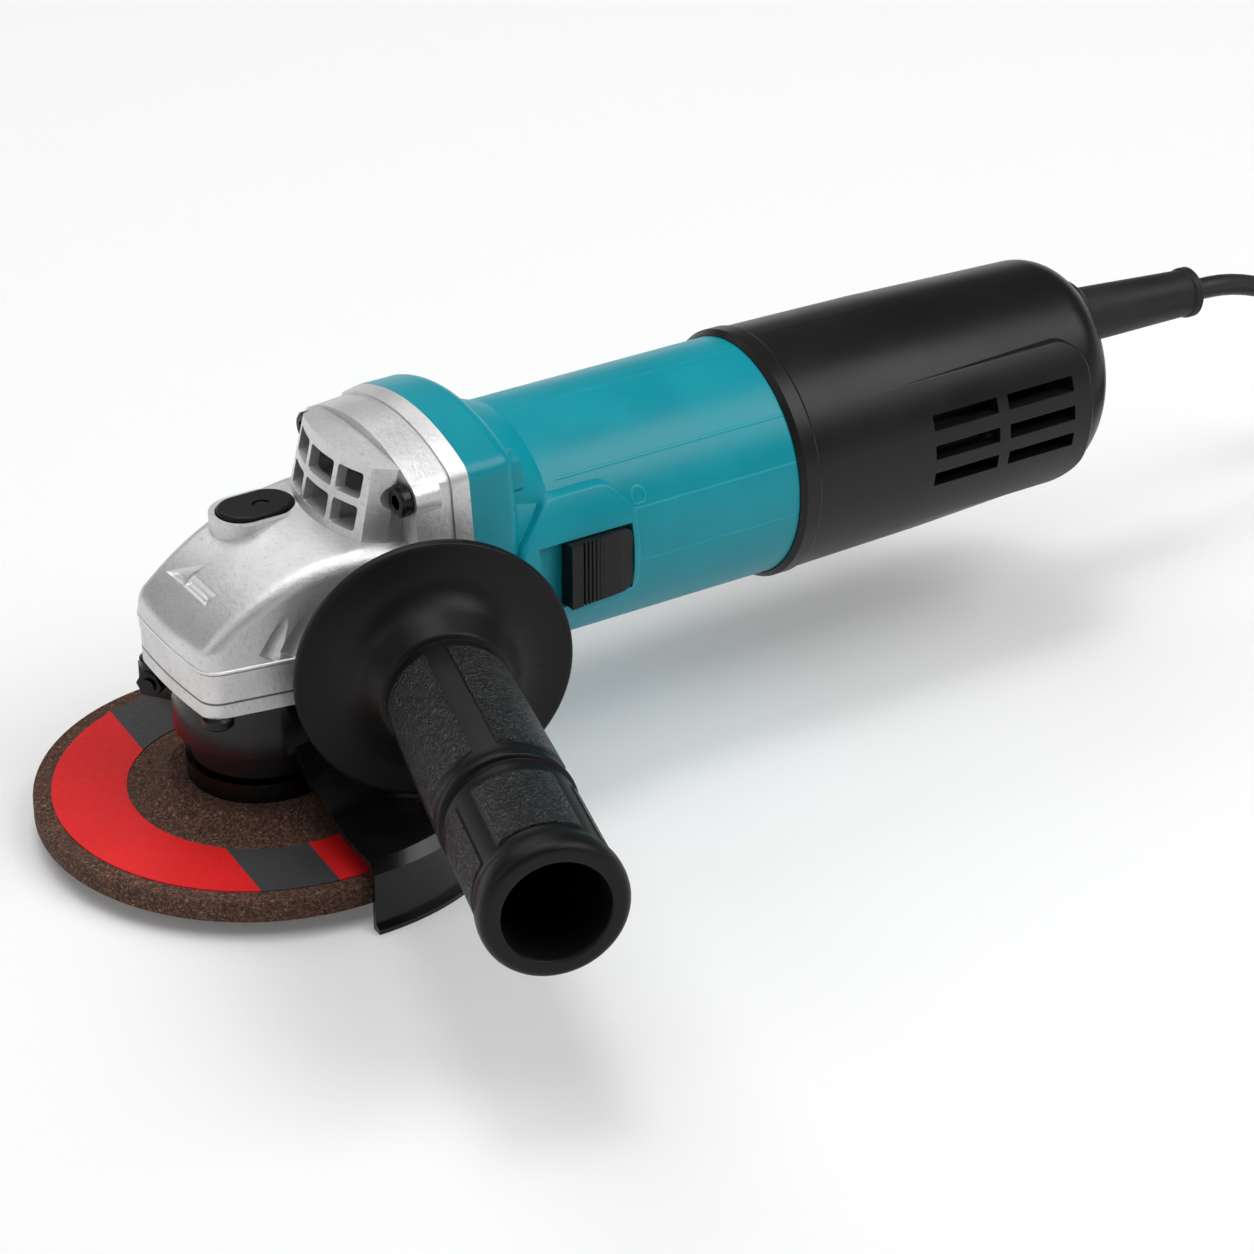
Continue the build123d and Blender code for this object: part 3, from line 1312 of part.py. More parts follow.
def cover_solid(inset, start_x):
    """The cover's turned form with a leaning, rounded end, its wall line moved in by `inset`."""
    first_r = COVER_R[0][1] - inset
    side = [(r - inset, x) for x, r in COVER_R if x > start_x]
    form = turned([(0, start_x), (first_r, start_x), *side, (0, COVER_R[-1][0])], MOTOR)
    lean = radians(COVER_END_TILT)
    end_plane = Plane(origin=(COVER_END_X - inset, 0, MOTOR_Z), z_dir=(cos(lean), 0, -sin(lean)))
    form = split(form, end_plane, keep=Keep.BOTTOM)
    end_face = form.faces().sort_by(Axis.X)[-1]
    return fillet(end_face.edges(), COVER_END_ROUND - inset)


def side_panels():
    """Vent panels without taper, so that they stand out towards the tail; their edges are rounded."""
    low, high = PANEL_X
    face = Pos((low + high) / 2, MOTOR_Z, 0) * RectangleRounded(high - low, 2 * PANEL_HALF_H, PANEL_CORNER_R)
    place = Plane(origin=(0, 0, 0), x_dir=(1, 0, 0), z_dir=(0, -1, 0))
    panel = extrude(place * face, 2 * BARREL_R) & rod_x(low, high, PANEL_R)
    panel = fillet(panel.faces().filter_by(GeomType.CYLINDER).sort_by(Axis.Y)[0].edges(), PANEL_EDGE_R)
    return mirrored(panel)


def cover_screw_seat_z():
    outer_r = COVER_R[3][1]
    return MOTOR_Z - sqrt(outer_r**2 - COVER_SCREW_Y**2) + COVER_SCREW_SEAT


def cover_screw_holes(radius):
    """Holes for the two screws under the tail that hold the cover on the motor housing."""
    low, high = cover_screw_seat_z() - 6, cover_screw_seat_z() + COVER_SCREW_L + 1
    return [rod_z(COVER_SCREW_X, side * COVER_SCREW_Y, low, high, radius) for side in (-1, 1)]


def rear_cover():
    start = COVER_R[0][0]
    outer = cover_solid(0, start)
    outer += side_panels()
    hollow = cover_solid(COVER_WALL, SPIGOT_END_X)
    hollow += rod_x(start - 1, SPIGOT_END_X + 0.5, SPIGOT_R + SEAT)
    saddle_z = clamp_z()
    saddle = block(CLAMP_X, (-CLAMP_HALF_W, CLAMP_HALF_W), (saddle_z, MOTOR_Z + 2 * BARREL_R))
    hollow -= saddle
    vents = [
        block(x, (-2 * BARREL_R, 2 * BARREL_R), (z - VENT_H / 2, z + VENT_H / 2)) for x in VENT_X for z in VENT_Z
    ]
    seat_z = cover_screw_seat_z()
    head_room = [
        rod_z(COVER_SCREW_X, side * COVER_SCREW_Y, seat_z - 8, seat_z, M3[1] + APART) for side in (-1, 1)
    ]
    return outer - [
        hollow, *vents, *head_room, *cover_screw_holes(M3[0] + SCREW_PLAY), *clamp_screw_holes(),
        rod(*relief_line(-CORD_INSIDE, 20), CORD_R + SEAT), rod(*relief_line(-8, 20), RELIEF_NECK_R + SEAT),
    ]


def rear_cover_screws():
    return group(
        socket_screw(M3, COVER_SCREW_L, (COVER_SCREW_X, side * COVER_SCREW_Y, cover_screw_seat_z()), (0, 0, 1))
        for side in (-1, 1)
    )


# Cord guard and clamp

RELIEF_DIR = (Vector(*RELIEF_TIP) - Vector(*RELIEF_START)).normalized()
RELIEF_L = (Vector(*RELIEF_TIP) - Vector(*RELIEF_START)).length
RELIEF = Plane(origin=RELIEF_START, x_dir=(0, 1, 0), z_dir=RELIEF_DIR)


def relief_line(low, high):
    start = Vector(*RELIEF_START)
    return start + RELIEF_DIR * low, start + RELIEF_DIR * high


def cord_guard():
    """Tapered rubber sleeve with a collar against the cover and a bead at its tip."""
    bead_r = RELIEF_TIP_R + RELIEF_BEAD
    body = turned(
        [
            (0, 0), (RELIEF_COLLAR_R, 0), (RELIEF_COLLAR_R, RELIEF_COLLAR_L - 2.0),
            (RELIEF_COLLAR_R - 1.6, RELIEF_COLLAR_L), (RELIEF_BASE_R, RELIEF_COLLAR_L),
            (RELIEF_TIP_R, RELIEF_L - RELIEF_BEAD_L), (bead_r, RELIEF_L - RELIEF_BEAD_L + RELIEF_BEAD),
            (bead_r, RELIEF_L - RELIEF_BEAD), (RELIEF_TIP_R, RELIEF_L), (0, RELIEF_L),
        ],
        RELIEF,
    )
    body -= cover_solid(-SEAT, SPIGOT_END_X)
    body += rod(*relief_line(-3, RELIEF_COLLAR_L), RELIEF_NECK_R)
    return body - rod(*relief_line(-4, RELIEF_L + 1), CORD_R + SEAT)


def clamp_z():
    """Height of the cord's axis at the middle of the clamp."""
    middle = (CLAMP_X[0] + CLAMP_X[1]) / 2
    return RELIEF_START[2] + (middle - RELIEF_START[0]) * RELIEF_DIR.Z / RELIEF_DIR.X


def cord_clamp():
    top = clamp_z() - APART
    bar = block(CLAMP_X, (-CLAMP_HALF_W, CLAMP_HALF_W), (top - CLAMP_T, top))
    bar = fillet(bar.edges().filter_by(Axis.Z), 1.5)
    return bar - [rod(*relief_line(-CORD_INSIDE, 0), CORD_R + SEAT), *clamp_screw_holes()]


def clamp_screw_holes():
    middle = (CLAMP_X[0] + CLAMP_X[1]) / 2
    low = clamp_z() - APART - CLAMP_T
    return [
        rod_z(middle, side * CLAMP_SCREW_Y, low - 1, low + CLAMP_SCREW_L + 1, M3[0] + SCREW_PLAY)
        for side in (-1, 1)
    ]


def cord_clamp_screws():
    middle = (CLAMP_X[0] + CLAMP_X[1]) / 2
    low = clamp_z() - APART - CLAMP_T
    return group(
        socket_screw(M3, CLAMP_SCREW_L, (middle, side * CLAMP_SCREW_Y, low), (0, 0, 1)) for side in (-1, 1)
    )


# Mains cord, coil, tie and plug

def cord_points():
    start = Vector(*RELIEF_TIP)
    end = Vector(CORD_FLOOR_X, CORD_FLOOR_Y, COIL_Z)
    bends = [Vector(*point) for point in CORD_BENDS]
    return [start, start + RELIEF_DIR * CORD_FIRST_RUN, *bends, end, end + Vector(CORD_LAST_RUN, 0, 0)]


def cord_radii(points):
    radii = []
    for before, here, after in zip(points, points[1:], points[2:]):
        turn = (here - before).get_angle(after - here)
        shorter = min((here - before).length, (after - here).length)
        radii.append(CORD_BEND_SHARE * shorter / tan(radians(turn) / 2))
    return radii


def mains_cord():
    points = cord_points()
    radii = cord_radii(points)
    print("cord bend radii", [round(r, 1) for r in radii])
    path = FilletPolyline(*points, radius=radii)
    face = Plane(origin=points[0], z_dir=points[1] - points[0]) * Circle(CORD_R)
    tube = sweep(face, path=path)
    print("cord volume over section by length", round(tube.volume / (pi * CORD_R**2 * path.length), 4))
    return tube + rod(*relief_line(-CORD_INSIDE, RELIEF_L), CORD_R)


def coil_centre():
    return Vector(CORD_FLOOR_X + CORD_LAST_RUN + COIL_STRAIGHT, CORD_FLOOR_Y - COIL_R_OUT, 0)


def coil_plan():
    """Stretches of the winding: kind, turns, sense of the spiral, layer."""
    layers = []
    for layer in range(4):
        turns = COIL_LAST_TURNS if layer == 3 else COIL_TURNS
        sense = -1 if layer % 2 == 0 else 1
        layers.append(("spiral", turns, sense, layer))
        layers.append(("climb" if layer < 3 else "tail", 0.5, sense, layer))
    return layers


def smooth(share):
    share = min(max(share, 0.0), 1.0)
    return share * share * (3 - 2 * share)


def coil_radius_height(turn):
    """Radius and height of the cord's axis after a number of turns."""
    radius = COIL_R_OUT
    rate = COIL_PITCH / (2 * pi)
    for kind, turns, sense, layer in coil_plan():
        low = COIL_Z + layer * COIL_LAYER
        here = min(turn, turns)
        if kind == "spiral":
            at = radius + sense * COIL_PITCH * here, low
            radius += sense * COIL_PITCH * turns
        elif kind == "climb":
            angle = 2 * pi * here
            at = radius + sense * rate * (angle - angle**2 / pi), low + COIL_LAYER * smooth(here / turns)
        else:
            share = here / turns
            ease = smooth(share)
            lead = share * (1 - share) ** 2 * pi * rate
            drop = low - plug_z()
            at = radius + lead + (COIL_TAIL_R - radius) * ease, low - drop * smooth(2 * share - 1)
        if turn <= turns:
            return at
        turn -= turns
    return at


def plug_z():
    return FLOOR_Z + PLUG_R


def coil_point(turn):
    radius, height = coil_radius_height(turn)
    angle = pi / 2 - 2 * pi * turn
    centre = coil_centre()
    return Vector(centre.X + radius * cos(angle), centre.Y + radius * sin(angle), height)


def coil_direction(turn, total):
    step = 1e-4
    low, high = max(turn - step, 0.0), min(turn + step, total)
    return (coil_point(high) - coil_point(low)).normalized()


def biarc(start, start_dir, end, end_dir):
    """Two arcs that join two points with given directions."""
    across, sum_dir = end - start, start_dir + end_dir
    mix = 2 * (1 - start_dir.dot(end_dir))
    along = across.dot(sum_dir)
    if mix < 1e-9:
        reach = across.dot(across) / (2 * along)
    else:
        reach = (-along + sqrt(along**2 + mix * across.dot(across))) / mix
    middle = (start + start_dir * reach + end - end_dir * reach) * 0.5
    first = TangentArc(start, middle, tangent=start_dir)
    return first, TangentArc(middle, end, tangent=first % 1)


def coil_gap(total):
    """Least free distance between turns, on points along the axis."""
    count = int(total * 48)
    points = [coil_point(total * i / count) for i in range(count + 1)]
    least = 1e9
    for i, a in enumerate(points):
        for b in points[i + 30:]:
            least = min(least, (a - b).length)
    return least - 2 * CORD_R


def cord_coil():
    total = sum(part[1] for part in coil_plan())
    print("coil turns", total, "least gap", round(coil_gap(total), 3))
    steps = int(total * 4 + 0.5)
    start, end = coil_point(0), coil_point(total)
    edges = [Line(start - Vector(COIL_STRAIGHT, 0, 0), start)]
    here, heading = start, Vector(1, 0, 0)
    for i in range(1, steps + 1):
        turn = total * i / steps
        there, onward = coil_point(turn), coil_direction(turn, total)
        if i == steps:
            onward = Vector(-1, 0, 0)
        edges.extend(biarc(here, heading, there, onward))
        here, heading = there, onward
    edges.append(Line(end, end - Vector(COIL_STRAIGHT, 0, 0)))
    path = Wire([edge.edge() for edge in edges])
    print("coil length", round(path.length), "edges", len(path.edges()))
    face = Plane(origin=start - Vector(COIL_STRAIGHT, 0, 0), z_dir=(1, 0, 0)) * Circle(CORD_R)
    coil = sweep(face, path=path)
    print("coil volume over section by length", round(coil.volume / (pi * CORD_R**2 * path.length), 4))
    return coil


def cord_tie():
    """Flat band closed round all turns on the side of the coil nearest to the tool."""
    total = sum(part[1] for part in coil_plan())
    at_tie = [coil_radius_height(0.75 + i) for i in range(ceil(total)) if 0.75 + i < total - 0.5]
    play = 0.9
    near = min(r for r, _ in at_tie) - CORD_R - play
    far = max(r for r, _ in at_tie) + CORD_R + play
    low = FLOOR_Z + TIE_T
    high = max(z for _, z in at_tie) + CORD_R + play / 2
    centre = coil_centre()
    width = (centre.Y - TIE_W / 2, centre.Y + TIE_W / 2)
    outer = block((centre.X - far - TIE_T, centre.X - near + TIE_T), width, (low - TIE_T, high + TIE_T))
    inner = block((centre.X - far, centre.X - near), (width[0] - 1, width[1] + 1), (low, high))
    return fillet(outer.edges().filter_by(Axis.Y), 2 * TIE_T) - fillet(inner.edges().filter_by(Axis.Y), TIE_T)


def plug_frame():
    start = coil_centre() + Vector(-COIL_STRAIGHT, -COIL_TAIL_R, plug_z())
    return Plane(origin=start, x_dir=(0, 1, 0), z_dir=(-1, 0, 0))


def plug():
    boot_l = PLUG_BOOT_L
    body = turned(
        [
            (0, 0), (PLUG_BOOT_R[0], 0), (PLUG_BOOT_R[1], boot_l), (PLUG_BOOT_R[1] + 3, boot_l + 1),
            (PLUG_R - 4, boot_l + 14), (PLUG_R - 1, boot_l + 22), (PLUG_R, boot_l + 27), (PLUG_R, PLUG_L - 1.5),
            (PLUG_R - 1.5, PLUG_L), (0, PLUG_L),
        ],
        plug_frame(),
    )
    return body


def plug_pins():
    frame = plug_frame()
    pins = []
    for side in (-1, 1):
        foot = frame.origin + frame.z_dir * PLUG_L + frame.x_dir * (side * PLUG_PIN_PITCH / 2)
        pin = rod(foot, foot + frame.z_dir * PLUG_PIN_L, PLUG_PIN_R)
        tip = pin.edges().filter_by(GeomType.CIRCLE).sort_by(Axis.X)[0]
        pins.append(fillet(tip, PLUG_PIN_R * 0.6))
    return group(pins)


# Side handle

def side_handle_grip():
    """Turned grip: flared root, dished flange, waisted hand part with a ring, and a hollow end."""
    end = HANDLE_ROOT + HANDLE_L
    rim, ring = HANDLE_FLANGE_R, GRIP_RING_S
    grip = turned(
        [
            (0, 0),
            (HANDLE_NECK_R, 0),
            (HANDLE_NECK_R + 1, 2.5),
            (HANDLE_NECK_R + 6, 5.2),
            (rim - 3, 7.2),
            (rim - 0.6, 7.8),
            (rim, 8.6),
            (rim, 10.2),
            (rim - 0.8, 11.0),
            (rim - 4, 10.8),
            (GRIP_ROOT_R + 10, 11.4),
            (GRIP_ROOT_R + 5.7, 14.0),
            (GRIP_ROOT_R + 3.1, 17.6),
            (GRIP_ROOT_R + 1.8, 21.2),
            (GRIP_ROOT_R + 1.0, 22.4),
            (GRIP_ROOT_R, 22.9),
            (GRIP_R - 0.6, 42.0),
            (GRIP_R - 0.1, 62.0),
            (GRIP_R, ring - 3.0),
            (GRIP_RING_R, ring - 0.8),
            (GRIP_RING_R, ring + 0.6),
            (GRIP_GROOVE_R, ring + 1.0),
            (GRIP_GROOVE_R, ring + 2.4),
            (GRIP_R - 0.2, ring + 3.0),
            (GRIP_R, end - 9.0),
            (GRIP_R + 0.5, end - 7.2),
            (GRIP_END_R, end - 4.8),
            (GRIP_END_R, end - 2.2),
            (GRIP_END_R - 0.7, end - 0.6),
            (GRIP_END_R - 2.2, end),
            (0, end),
        ],
        HANDLE,
    )
    hollow = rod(handle_point(end - GRIP_HOLE_L), handle_point(end + 1), GRIP_HOLE_R)
    bolt = rod(handle_point(-1), handle_point(BOLT_IN_GRIP), BOLT_R + RUN)
    head = rod(handle_point(BOLT_IN_GRIP - BOLT_HEAD_L), handle_point(BOLT_IN_GRIP), BOLT_HEAD_R + RUN)
    return grip - [hollow, bolt, head]


def handle_point(height):
    return HANDLE_ROOT_POINT + HANDLE_DIR * height


def side_handle_bolt():
    shank = rod(handle_point(-BOLT_DEPTH), handle_point(BOLT_IN_GRIP), BOLT_R)
    place = Plane(origin=handle_point(BOLT_IN_GRIP - BOLT_HEAD_L), z_dir=HANDLE_DIR)
    head = extrude(place * RegularPolygon(BOLT_HEAD_R, 6), BOLT_HEAD_L)
    return shank + head


def build_all():
    nodes["grinding_wheel"] = grinding_wheel()
    nodes["wheel_label"] = wheel_label()
    nodes["lock_nut"] = lock_nut()
    nodes["inner_flange"] = inner_flange()
    nodes["spindle"] = spindle()
    outer, inner = ball_bearing(SPINDLE_BEARING, SPINDLE, BEARING_Z)
    nodes["spindle_bearing_outer"], nodes["spindle_bearing_inner"] = outer, inner
    outer, inner = ball_bearing(FRONT_BEARING, MOTOR, FRONT_BEARING_X)
    nodes["front_bearing_outer"], nodes["front_bearing_inner"] = outer, inner
    outer, inner = ball_bearing(REAR_BEARING, MOTOR, BEARING_REAR_X)
    nodes["rear_bearing_outer"], nodes["rear_bearing_inner"] = outer, inner
    holders, brushes, springs = brush_parts()
    nodes["brush_holders"], nodes["carbon_brushes"], nodes["brush_springs"] = holders, brushes, springs
    for make in (
        spindle_bearing_retainer, gear_retaining_ring, needle_bush, bevel_gear, pinion, pinion_nut, gear_housing, bearing_box,
        o_ring, dust_ring, bearing_box_screws, gear_housing_screws, shaft_lock_button, shaft_lock_pin,
        shaft_lock_spring, wheel_guard, guard_clamp_screw, motor_housing, switch_knob, switch_rod, 
        switch_unit, field_core, field_coils, field_screws, armature_shaft, armature_core, armature_windings,
        commutator, fan, baffle_ring, rear_bearing_rubber, front_bearing_retainer, rear_cover, rear_cover_screws,
        cord_guard, cord_clamp, cord_clamp_screws, side_handle_grip, side_handle_bolt, mains_cord, cord_coil,
        cord_tie, plug, plug_pins,
    ):
        nodes[make.__name__] = make()


build_all()
os.makedirs("parts", exist_ok=True)
for name, shape in nodes.items():
    export_step(shape, f"parts/{name}.step")
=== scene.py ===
"""Corded angle grinder: finishes, grip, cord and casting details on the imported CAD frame."""

import bpy
import numpy as np
from bpy.props import FloatProperty, FloatVectorProperty, PointerProperty
from bpy.types import Operator, Panel, PropertyGroup
from mathutils import Matrix, Vector


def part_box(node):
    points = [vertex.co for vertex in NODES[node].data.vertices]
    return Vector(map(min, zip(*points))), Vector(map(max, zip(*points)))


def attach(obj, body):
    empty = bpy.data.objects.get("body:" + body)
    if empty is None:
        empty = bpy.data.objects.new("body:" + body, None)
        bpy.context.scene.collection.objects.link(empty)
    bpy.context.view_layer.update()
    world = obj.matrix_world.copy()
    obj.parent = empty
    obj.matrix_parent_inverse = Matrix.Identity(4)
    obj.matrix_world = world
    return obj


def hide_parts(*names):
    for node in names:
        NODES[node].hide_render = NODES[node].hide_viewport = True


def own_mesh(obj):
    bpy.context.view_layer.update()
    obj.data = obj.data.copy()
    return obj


bl_info = {
    "name": "Angle grinder",
    "version": (1, 0, 0),
    "blender": (4, 5, 0),
    "location": "View3D > Sidebar > Grinder",
    "description": "Finishes, grip, cord and casting details of a small angle grinder",
    "category": "Object",
}

MM = 0.001
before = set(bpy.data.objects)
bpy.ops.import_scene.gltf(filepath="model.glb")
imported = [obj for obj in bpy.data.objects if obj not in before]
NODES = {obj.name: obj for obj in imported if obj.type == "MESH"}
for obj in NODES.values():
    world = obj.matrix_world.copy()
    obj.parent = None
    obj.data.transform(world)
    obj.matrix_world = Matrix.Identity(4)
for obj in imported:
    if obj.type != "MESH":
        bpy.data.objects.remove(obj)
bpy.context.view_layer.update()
FLOOR_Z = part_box("wheel_guard")[0][2]

# Motor axis and barrel, and the lines round the nose, in millimetres
MOTOR_Z = 59.4
BARREL_R = 31.75
BOX_JOINT_Z = 43.4
NOSE_BEAD_Z = 52.2
NOSE_END_X = 30.0

# Cast arrow on the nose, in millimetres: the bar's middle and half sizes, the head's base, and the height
# above which it is cut
ARROW_BAR_X, ARROW_BAR_Y = -14.6, -1.0
ARROW_BAR_HALF_X, ARROW_BAR_HALF_Y = 1.8, 6.2
ARROW_HEAD_X, ARROW_HEAD_Y = -16.2, 4.8
ARROW_LOW_Z = 58.0

# Grey band across the wheel's label, in millimetres: middle, half width and lean along Y
BAND_X = -12.1
BAND_HALF = 9.45
BAND_LEAN = 0.065

# Marks on the barrel's side: rectangle, ring and the angles of two mould lines, lengths in millimetres
RECTANGLE_X, RECTANGLE_Z, RECTANGLE_HALF_Z = 91.8, 63.0, 6.9
RING_X, RING_Z, RING_R = 93.9, 72.9, 2.0
SEAM_ANGLE, CROWN_ANGLE = np.radians(42.6), np.radians(85.8)

# Side handle: root centre and direction in millimetres, and the directions seen as right and up across it
HANDLE_ROOT = np.array([29.344, -33.401, 50.4])
HANDLE_AXIS = np.array([-0.270600, -0.962692, 0.0])
HANDLE_RIGHT = np.array([0.860, -0.242, 0.448])
HANDLE_RIGHT = HANDLE_RIGHT - HANDLE_AXIS * HANDLE_RIGHT.dot(HANDLE_AXIS)
HANDLE_RIGHT = HANDLE_RIGHT / np.linalg.norm(HANDLE_RIGHT)
HANDLE_UP = np.cross(HANDLE_AXIS, HANDLE_RIGHT)

# Grip section from the bolt's hole over flange and hand part to the hollow end: radius, height and rounding
# of each corner, in millimetres
GRIP_PROFILE = (
    (0.0, 26.1, 0), (6.6, 26.1, 0.2), (6.6, 19.9, 0.2), (4.1, 19.9, 0.2), (4.1, 0.0, 0.3),
    (12.8, 0.0, 1.2), (14.2, 2.8, 2.5), (19.0, 5.2, 4), (31.8, 7.2, 5), (34.7, 8.2, 0.8),
    (34.7, 11.0, 1.0), (31.0, 10.8, 4), (25.2, 11.3, 5), (20.4, 14.2, 5), (17.8, 19.4, 4),
    (16.4, 22.5, 0.8), (15.1, 22.8, 0.2), (15.2, 24.0, 0.4), (15.9, 46.0, 12), (16.3, 68.0, 8),
    (16.4, 77.0, 1.5), (16.9, 78.8, 0.7), (16.9, 80.5, 0.6), (15.7, 80.8, 0.2), (15.6, 82.2, 0.5),
    (16.2, 82.9, 0.4), (16.4, 110.0, 4), (16.5, 113.0, 1.6), (17.6, 115.4, 1.8), (17.6, 119.6, 1.8),
    (16.2, 121.3, 1.0), (12.9, 121.3, 0.5), (12.5, 120.2, 0.8), (12.4, 59.5, 1.0), (0.0, 59.5, 0),
)
GRIP_STEP = 1.3
GRIP_COLUMNS = 256
MOULD_LINE_RISE = 0.18

# Shaft lock: the spring's wire radius and turns, the radius in millimetres
LOCK_WIRE_R = 0.35
LOCK_TURNS = 4

# Cord route from the strain relief to the floor, in millimetres
CORD_ROUTE = (
    (287.2, 0.0, 69.61),
    (293.2, 0.0, 69.3),
    (308.2, 0.0, 68.52),
    (328.5, 1.5, 60.5),
    (342.0, 5.0, 44.0),
    (351.5, 9.3, 23.5),
    (365.5, 14.3, 8.0),
    (384.0, 18.8, -0.3),
    (401.0, 18.8, -0.3),
)
COIL_CENTRE = (407.0, -24.0)
COIL_R_OUT = 42.8
COIL_PITCH = 6.9
COIL_LAYER = 6.6
COIL_LOW_Z = -0.3
COIL_TAIL_R = 56.0
PLUG_Z = 13.7
POINTS_PER_TURN = 24

# Camera's place from the origin along its own right, up and back directions, in millimetres
CAMERA_OFFSET = (92.01, 43.23, 1011.97)

# Softboxes in metres: place and size, and the point that all of them face
SOFTBOXES = {
    "overhead": ((-0.2, 0.05, 2.4), (2.4, 2.2)),
    "accent": ((0.15, 0.25, 2.4), (0.6, 0.6)),
    "key": ((1.12, -1.12, 1.8), (1.8, 1.3)),
    "side": ((-1.88, 0.1, 1.15), (1.2, 1.2)),
    "rear": ((0.1, 1.82, 1.86), (1.8, 1.0)),
}
LIT_POINT = (0.08, 0.0, 0.04)
FLOOR_HALF = 4000.0
FLOOR_GAP = 0.05


class GrinderColours(PropertyGroup):
    """Colours of the finishes, linear."""

    teal: FloatVectorProperty(
        name="Motor housing", description="Teal of the motor housing", subtype="COLOR", size=3,
        min=0, max=1, default=(0.0, 0.28, 0.35),
    )
    black: FloatVectorProperty(
        name="Moulded black", description="Black of cover, handle and switch", subtype="COLOR", size=3,
        min=0, max=1, default=(0.009, 0.009, 0.0095),
    )
    aluminium: FloatVectorProperty(
        name="Cast aluminium", description="Colour of the gear head", subtype="COLOR", size=3,
        min=0, max=1, default=(0.72, 0.72, 0.715),
    )
    label: FloatVectorProperty(
        name="Wheel label", description="Red of the wheel's label", subtype="COLOR", size=3,
        min=0, max=1, default=(0.8, 0.016, 0.018),
    )
    abrasive: FloatVectorProperty(
        name="Abrasive", description="Brown of the bonded grain", subtype="COLOR", size=3,
        min=0, max=1, default=(0.12, 0.06, 0.04),
    )


class GrinderSizes(PropertyGroup):
    """Sizes of the pieces made here."""

    cord_diameter: FloatProperty(
        name="Cord diameter", description="Outer diameter of the mains cord", default=6.0 * MM, unit="LENGTH",
    )
    panel_rise: FloatProperty(
        name="Grip panel rise", description="Height of the textured grip panels", default=0.35 * MM,
        unit="LENGTH",
    )
    arrow_depth: FloatProperty(
        name="Arrow depth", description="Depth of the cast direction arrow", default=0.9 * MM, unit="LENGTH",
    )


class GrinderStage(PropertyGroup):
    """Light and camera."""

    lens: FloatProperty(
        name="Lens", description="Focal length on a 36 mm sensor", default=114.83, unit="CAMERA",
    )
    azimuth: FloatProperty(
        name="Azimuth", description="Camera angle round the object", default=np.radians(-32.07),
        subtype="ANGLE",
    )
    elevation: FloatProperty(
        name="Elevation", description="Camera angle over the floor", default=np.radians(29.34),
        subtype="ANGLE",
    )
    overhead: FloatProperty(
        name="Overhead light", description="Power of the large overhead softbox", default=22.0, unit="POWER",
    )
    accent: FloatProperty(
        name="Accent light", description="Power of the small overhead softbox", default=9.0, unit="POWER",
    )
    key: FloatProperty(
        name="Key light", description="Power of the right-hand softbox", default=29.0, unit="POWER",
    )
    side: FloatProperty(
        name="Side light", description="Power of the left-hand softbox", default=5.0, unit="POWER",
    )
    rear: FloatProperty(
        name="Rear light", description="Power of the rear softbox", default=11.0, unit="POWER",
    )
    fill: FloatProperty(
        name="Fill light", description="Strength of the surroundings", default=0.05, min=0, max=1,
    )
    floor_glow: FloatProperty(
        name="Floor glow", description="Light added to the floor as it is seen", default=0.11, min=0, max=1,
    )


# Mesh helpers

def make_piece(name, points, faces):
    """Smooth-shaded object from points in millimetres and lists of corner numbers."""
    mesh = bpy.data.meshes.new(name)
    mesh.from_pydata((np.asarray(points) * MM).tolist(), [], faces)
    mesh.polygons.foreach_set("use_smooth", [True] * len(mesh.polygons))
    piece = bpy.data.objects.new(name, mesh)
    bpy.context.scene.collection.objects.link(piece)
    return piece


def ring_faces(rows, columns):
    """Quads between neighbouring rings of points: (i, j), (i, j+1), (i+1, j+1), (i+1, j), with j wrapped."""
    i, j = np.meshgrid(np.arange(rows - 1), np.arange(columns), indexing="ij")
    here, above = i * columns, (i + 1) * columns
    after = (j + 1) % columns
    return np.stack([here + j, here + after, above + after, above + j], axis=-1).reshape(-1, 4)


def closed_faces(rows, columns):
    """Ring faces plus a fan to one pole point before the first ring and one after the last."""
    j = np.arange(columns)
    after = (j + 1) % columns
    first, last, base = rows * columns, rows * columns + 1, (rows - 1) * columns
    quads = ring_faces(rows, columns).tolist()
    low = np.stack([np.full(columns, first), after, j], axis=-1).tolist()
    high = np.stack([np.full(columns, last), base + j, base + after], axis=-1).tolist()
    return quads + low + high


def add_attribute(piece, name, values):
    """Stores one number per vertex, for the piece's material."""
    layer = piece.data.attributes.new(name, "FLOAT", "POINT")
    layer.data.foreach_set("value", np.asarray(values, dtype=np.float32).ravel())


def smoothstep(low, high, value):
    """0 below low, 1 above high, and 3t^2 - 2t^3 between them."""
    share = np.clip((value - low) / (high - low), 0.0, 1.0)
    return share * share * (3 - 2 * share)


def rounded_profile(corners, per_corner=7):
    """Polyline (radius, height, rounding) with every corner turned into a parabola.

    Point on a corner: (1-t)^2 a + 2t(1-t) c + t^2 b, where a and b lie `rounding` away from the corner c.
    """
    corners = np.asarray(corners, dtype=float)
    points, rounding = corners[:, :2], corners[:, 2]
    t = np.linspace(0, 1, per_corner)[:, None]
    out = [points[:1]]
    for before, here, after, reach in zip(points, points[1:], points[2:], rounding[1:]):
        back, ahead = before - here, after - here
        reach_back = min(reach, 0.49 * np.linalg.norm(back))
        reach_ahead = min(reach, 0.49 * np.linalg.norm(ahead))
        a = here + back / np.linalg.norm(back) * reach_back
        b = here + ahead / np.linalg.norm(ahead) * reach_ahead
        out.append((1 - t) ** 2 * a + 2 * t * (1 - t) * here + t**2 * b)
    out.append(points[-1:])
    return np.vstack(out)


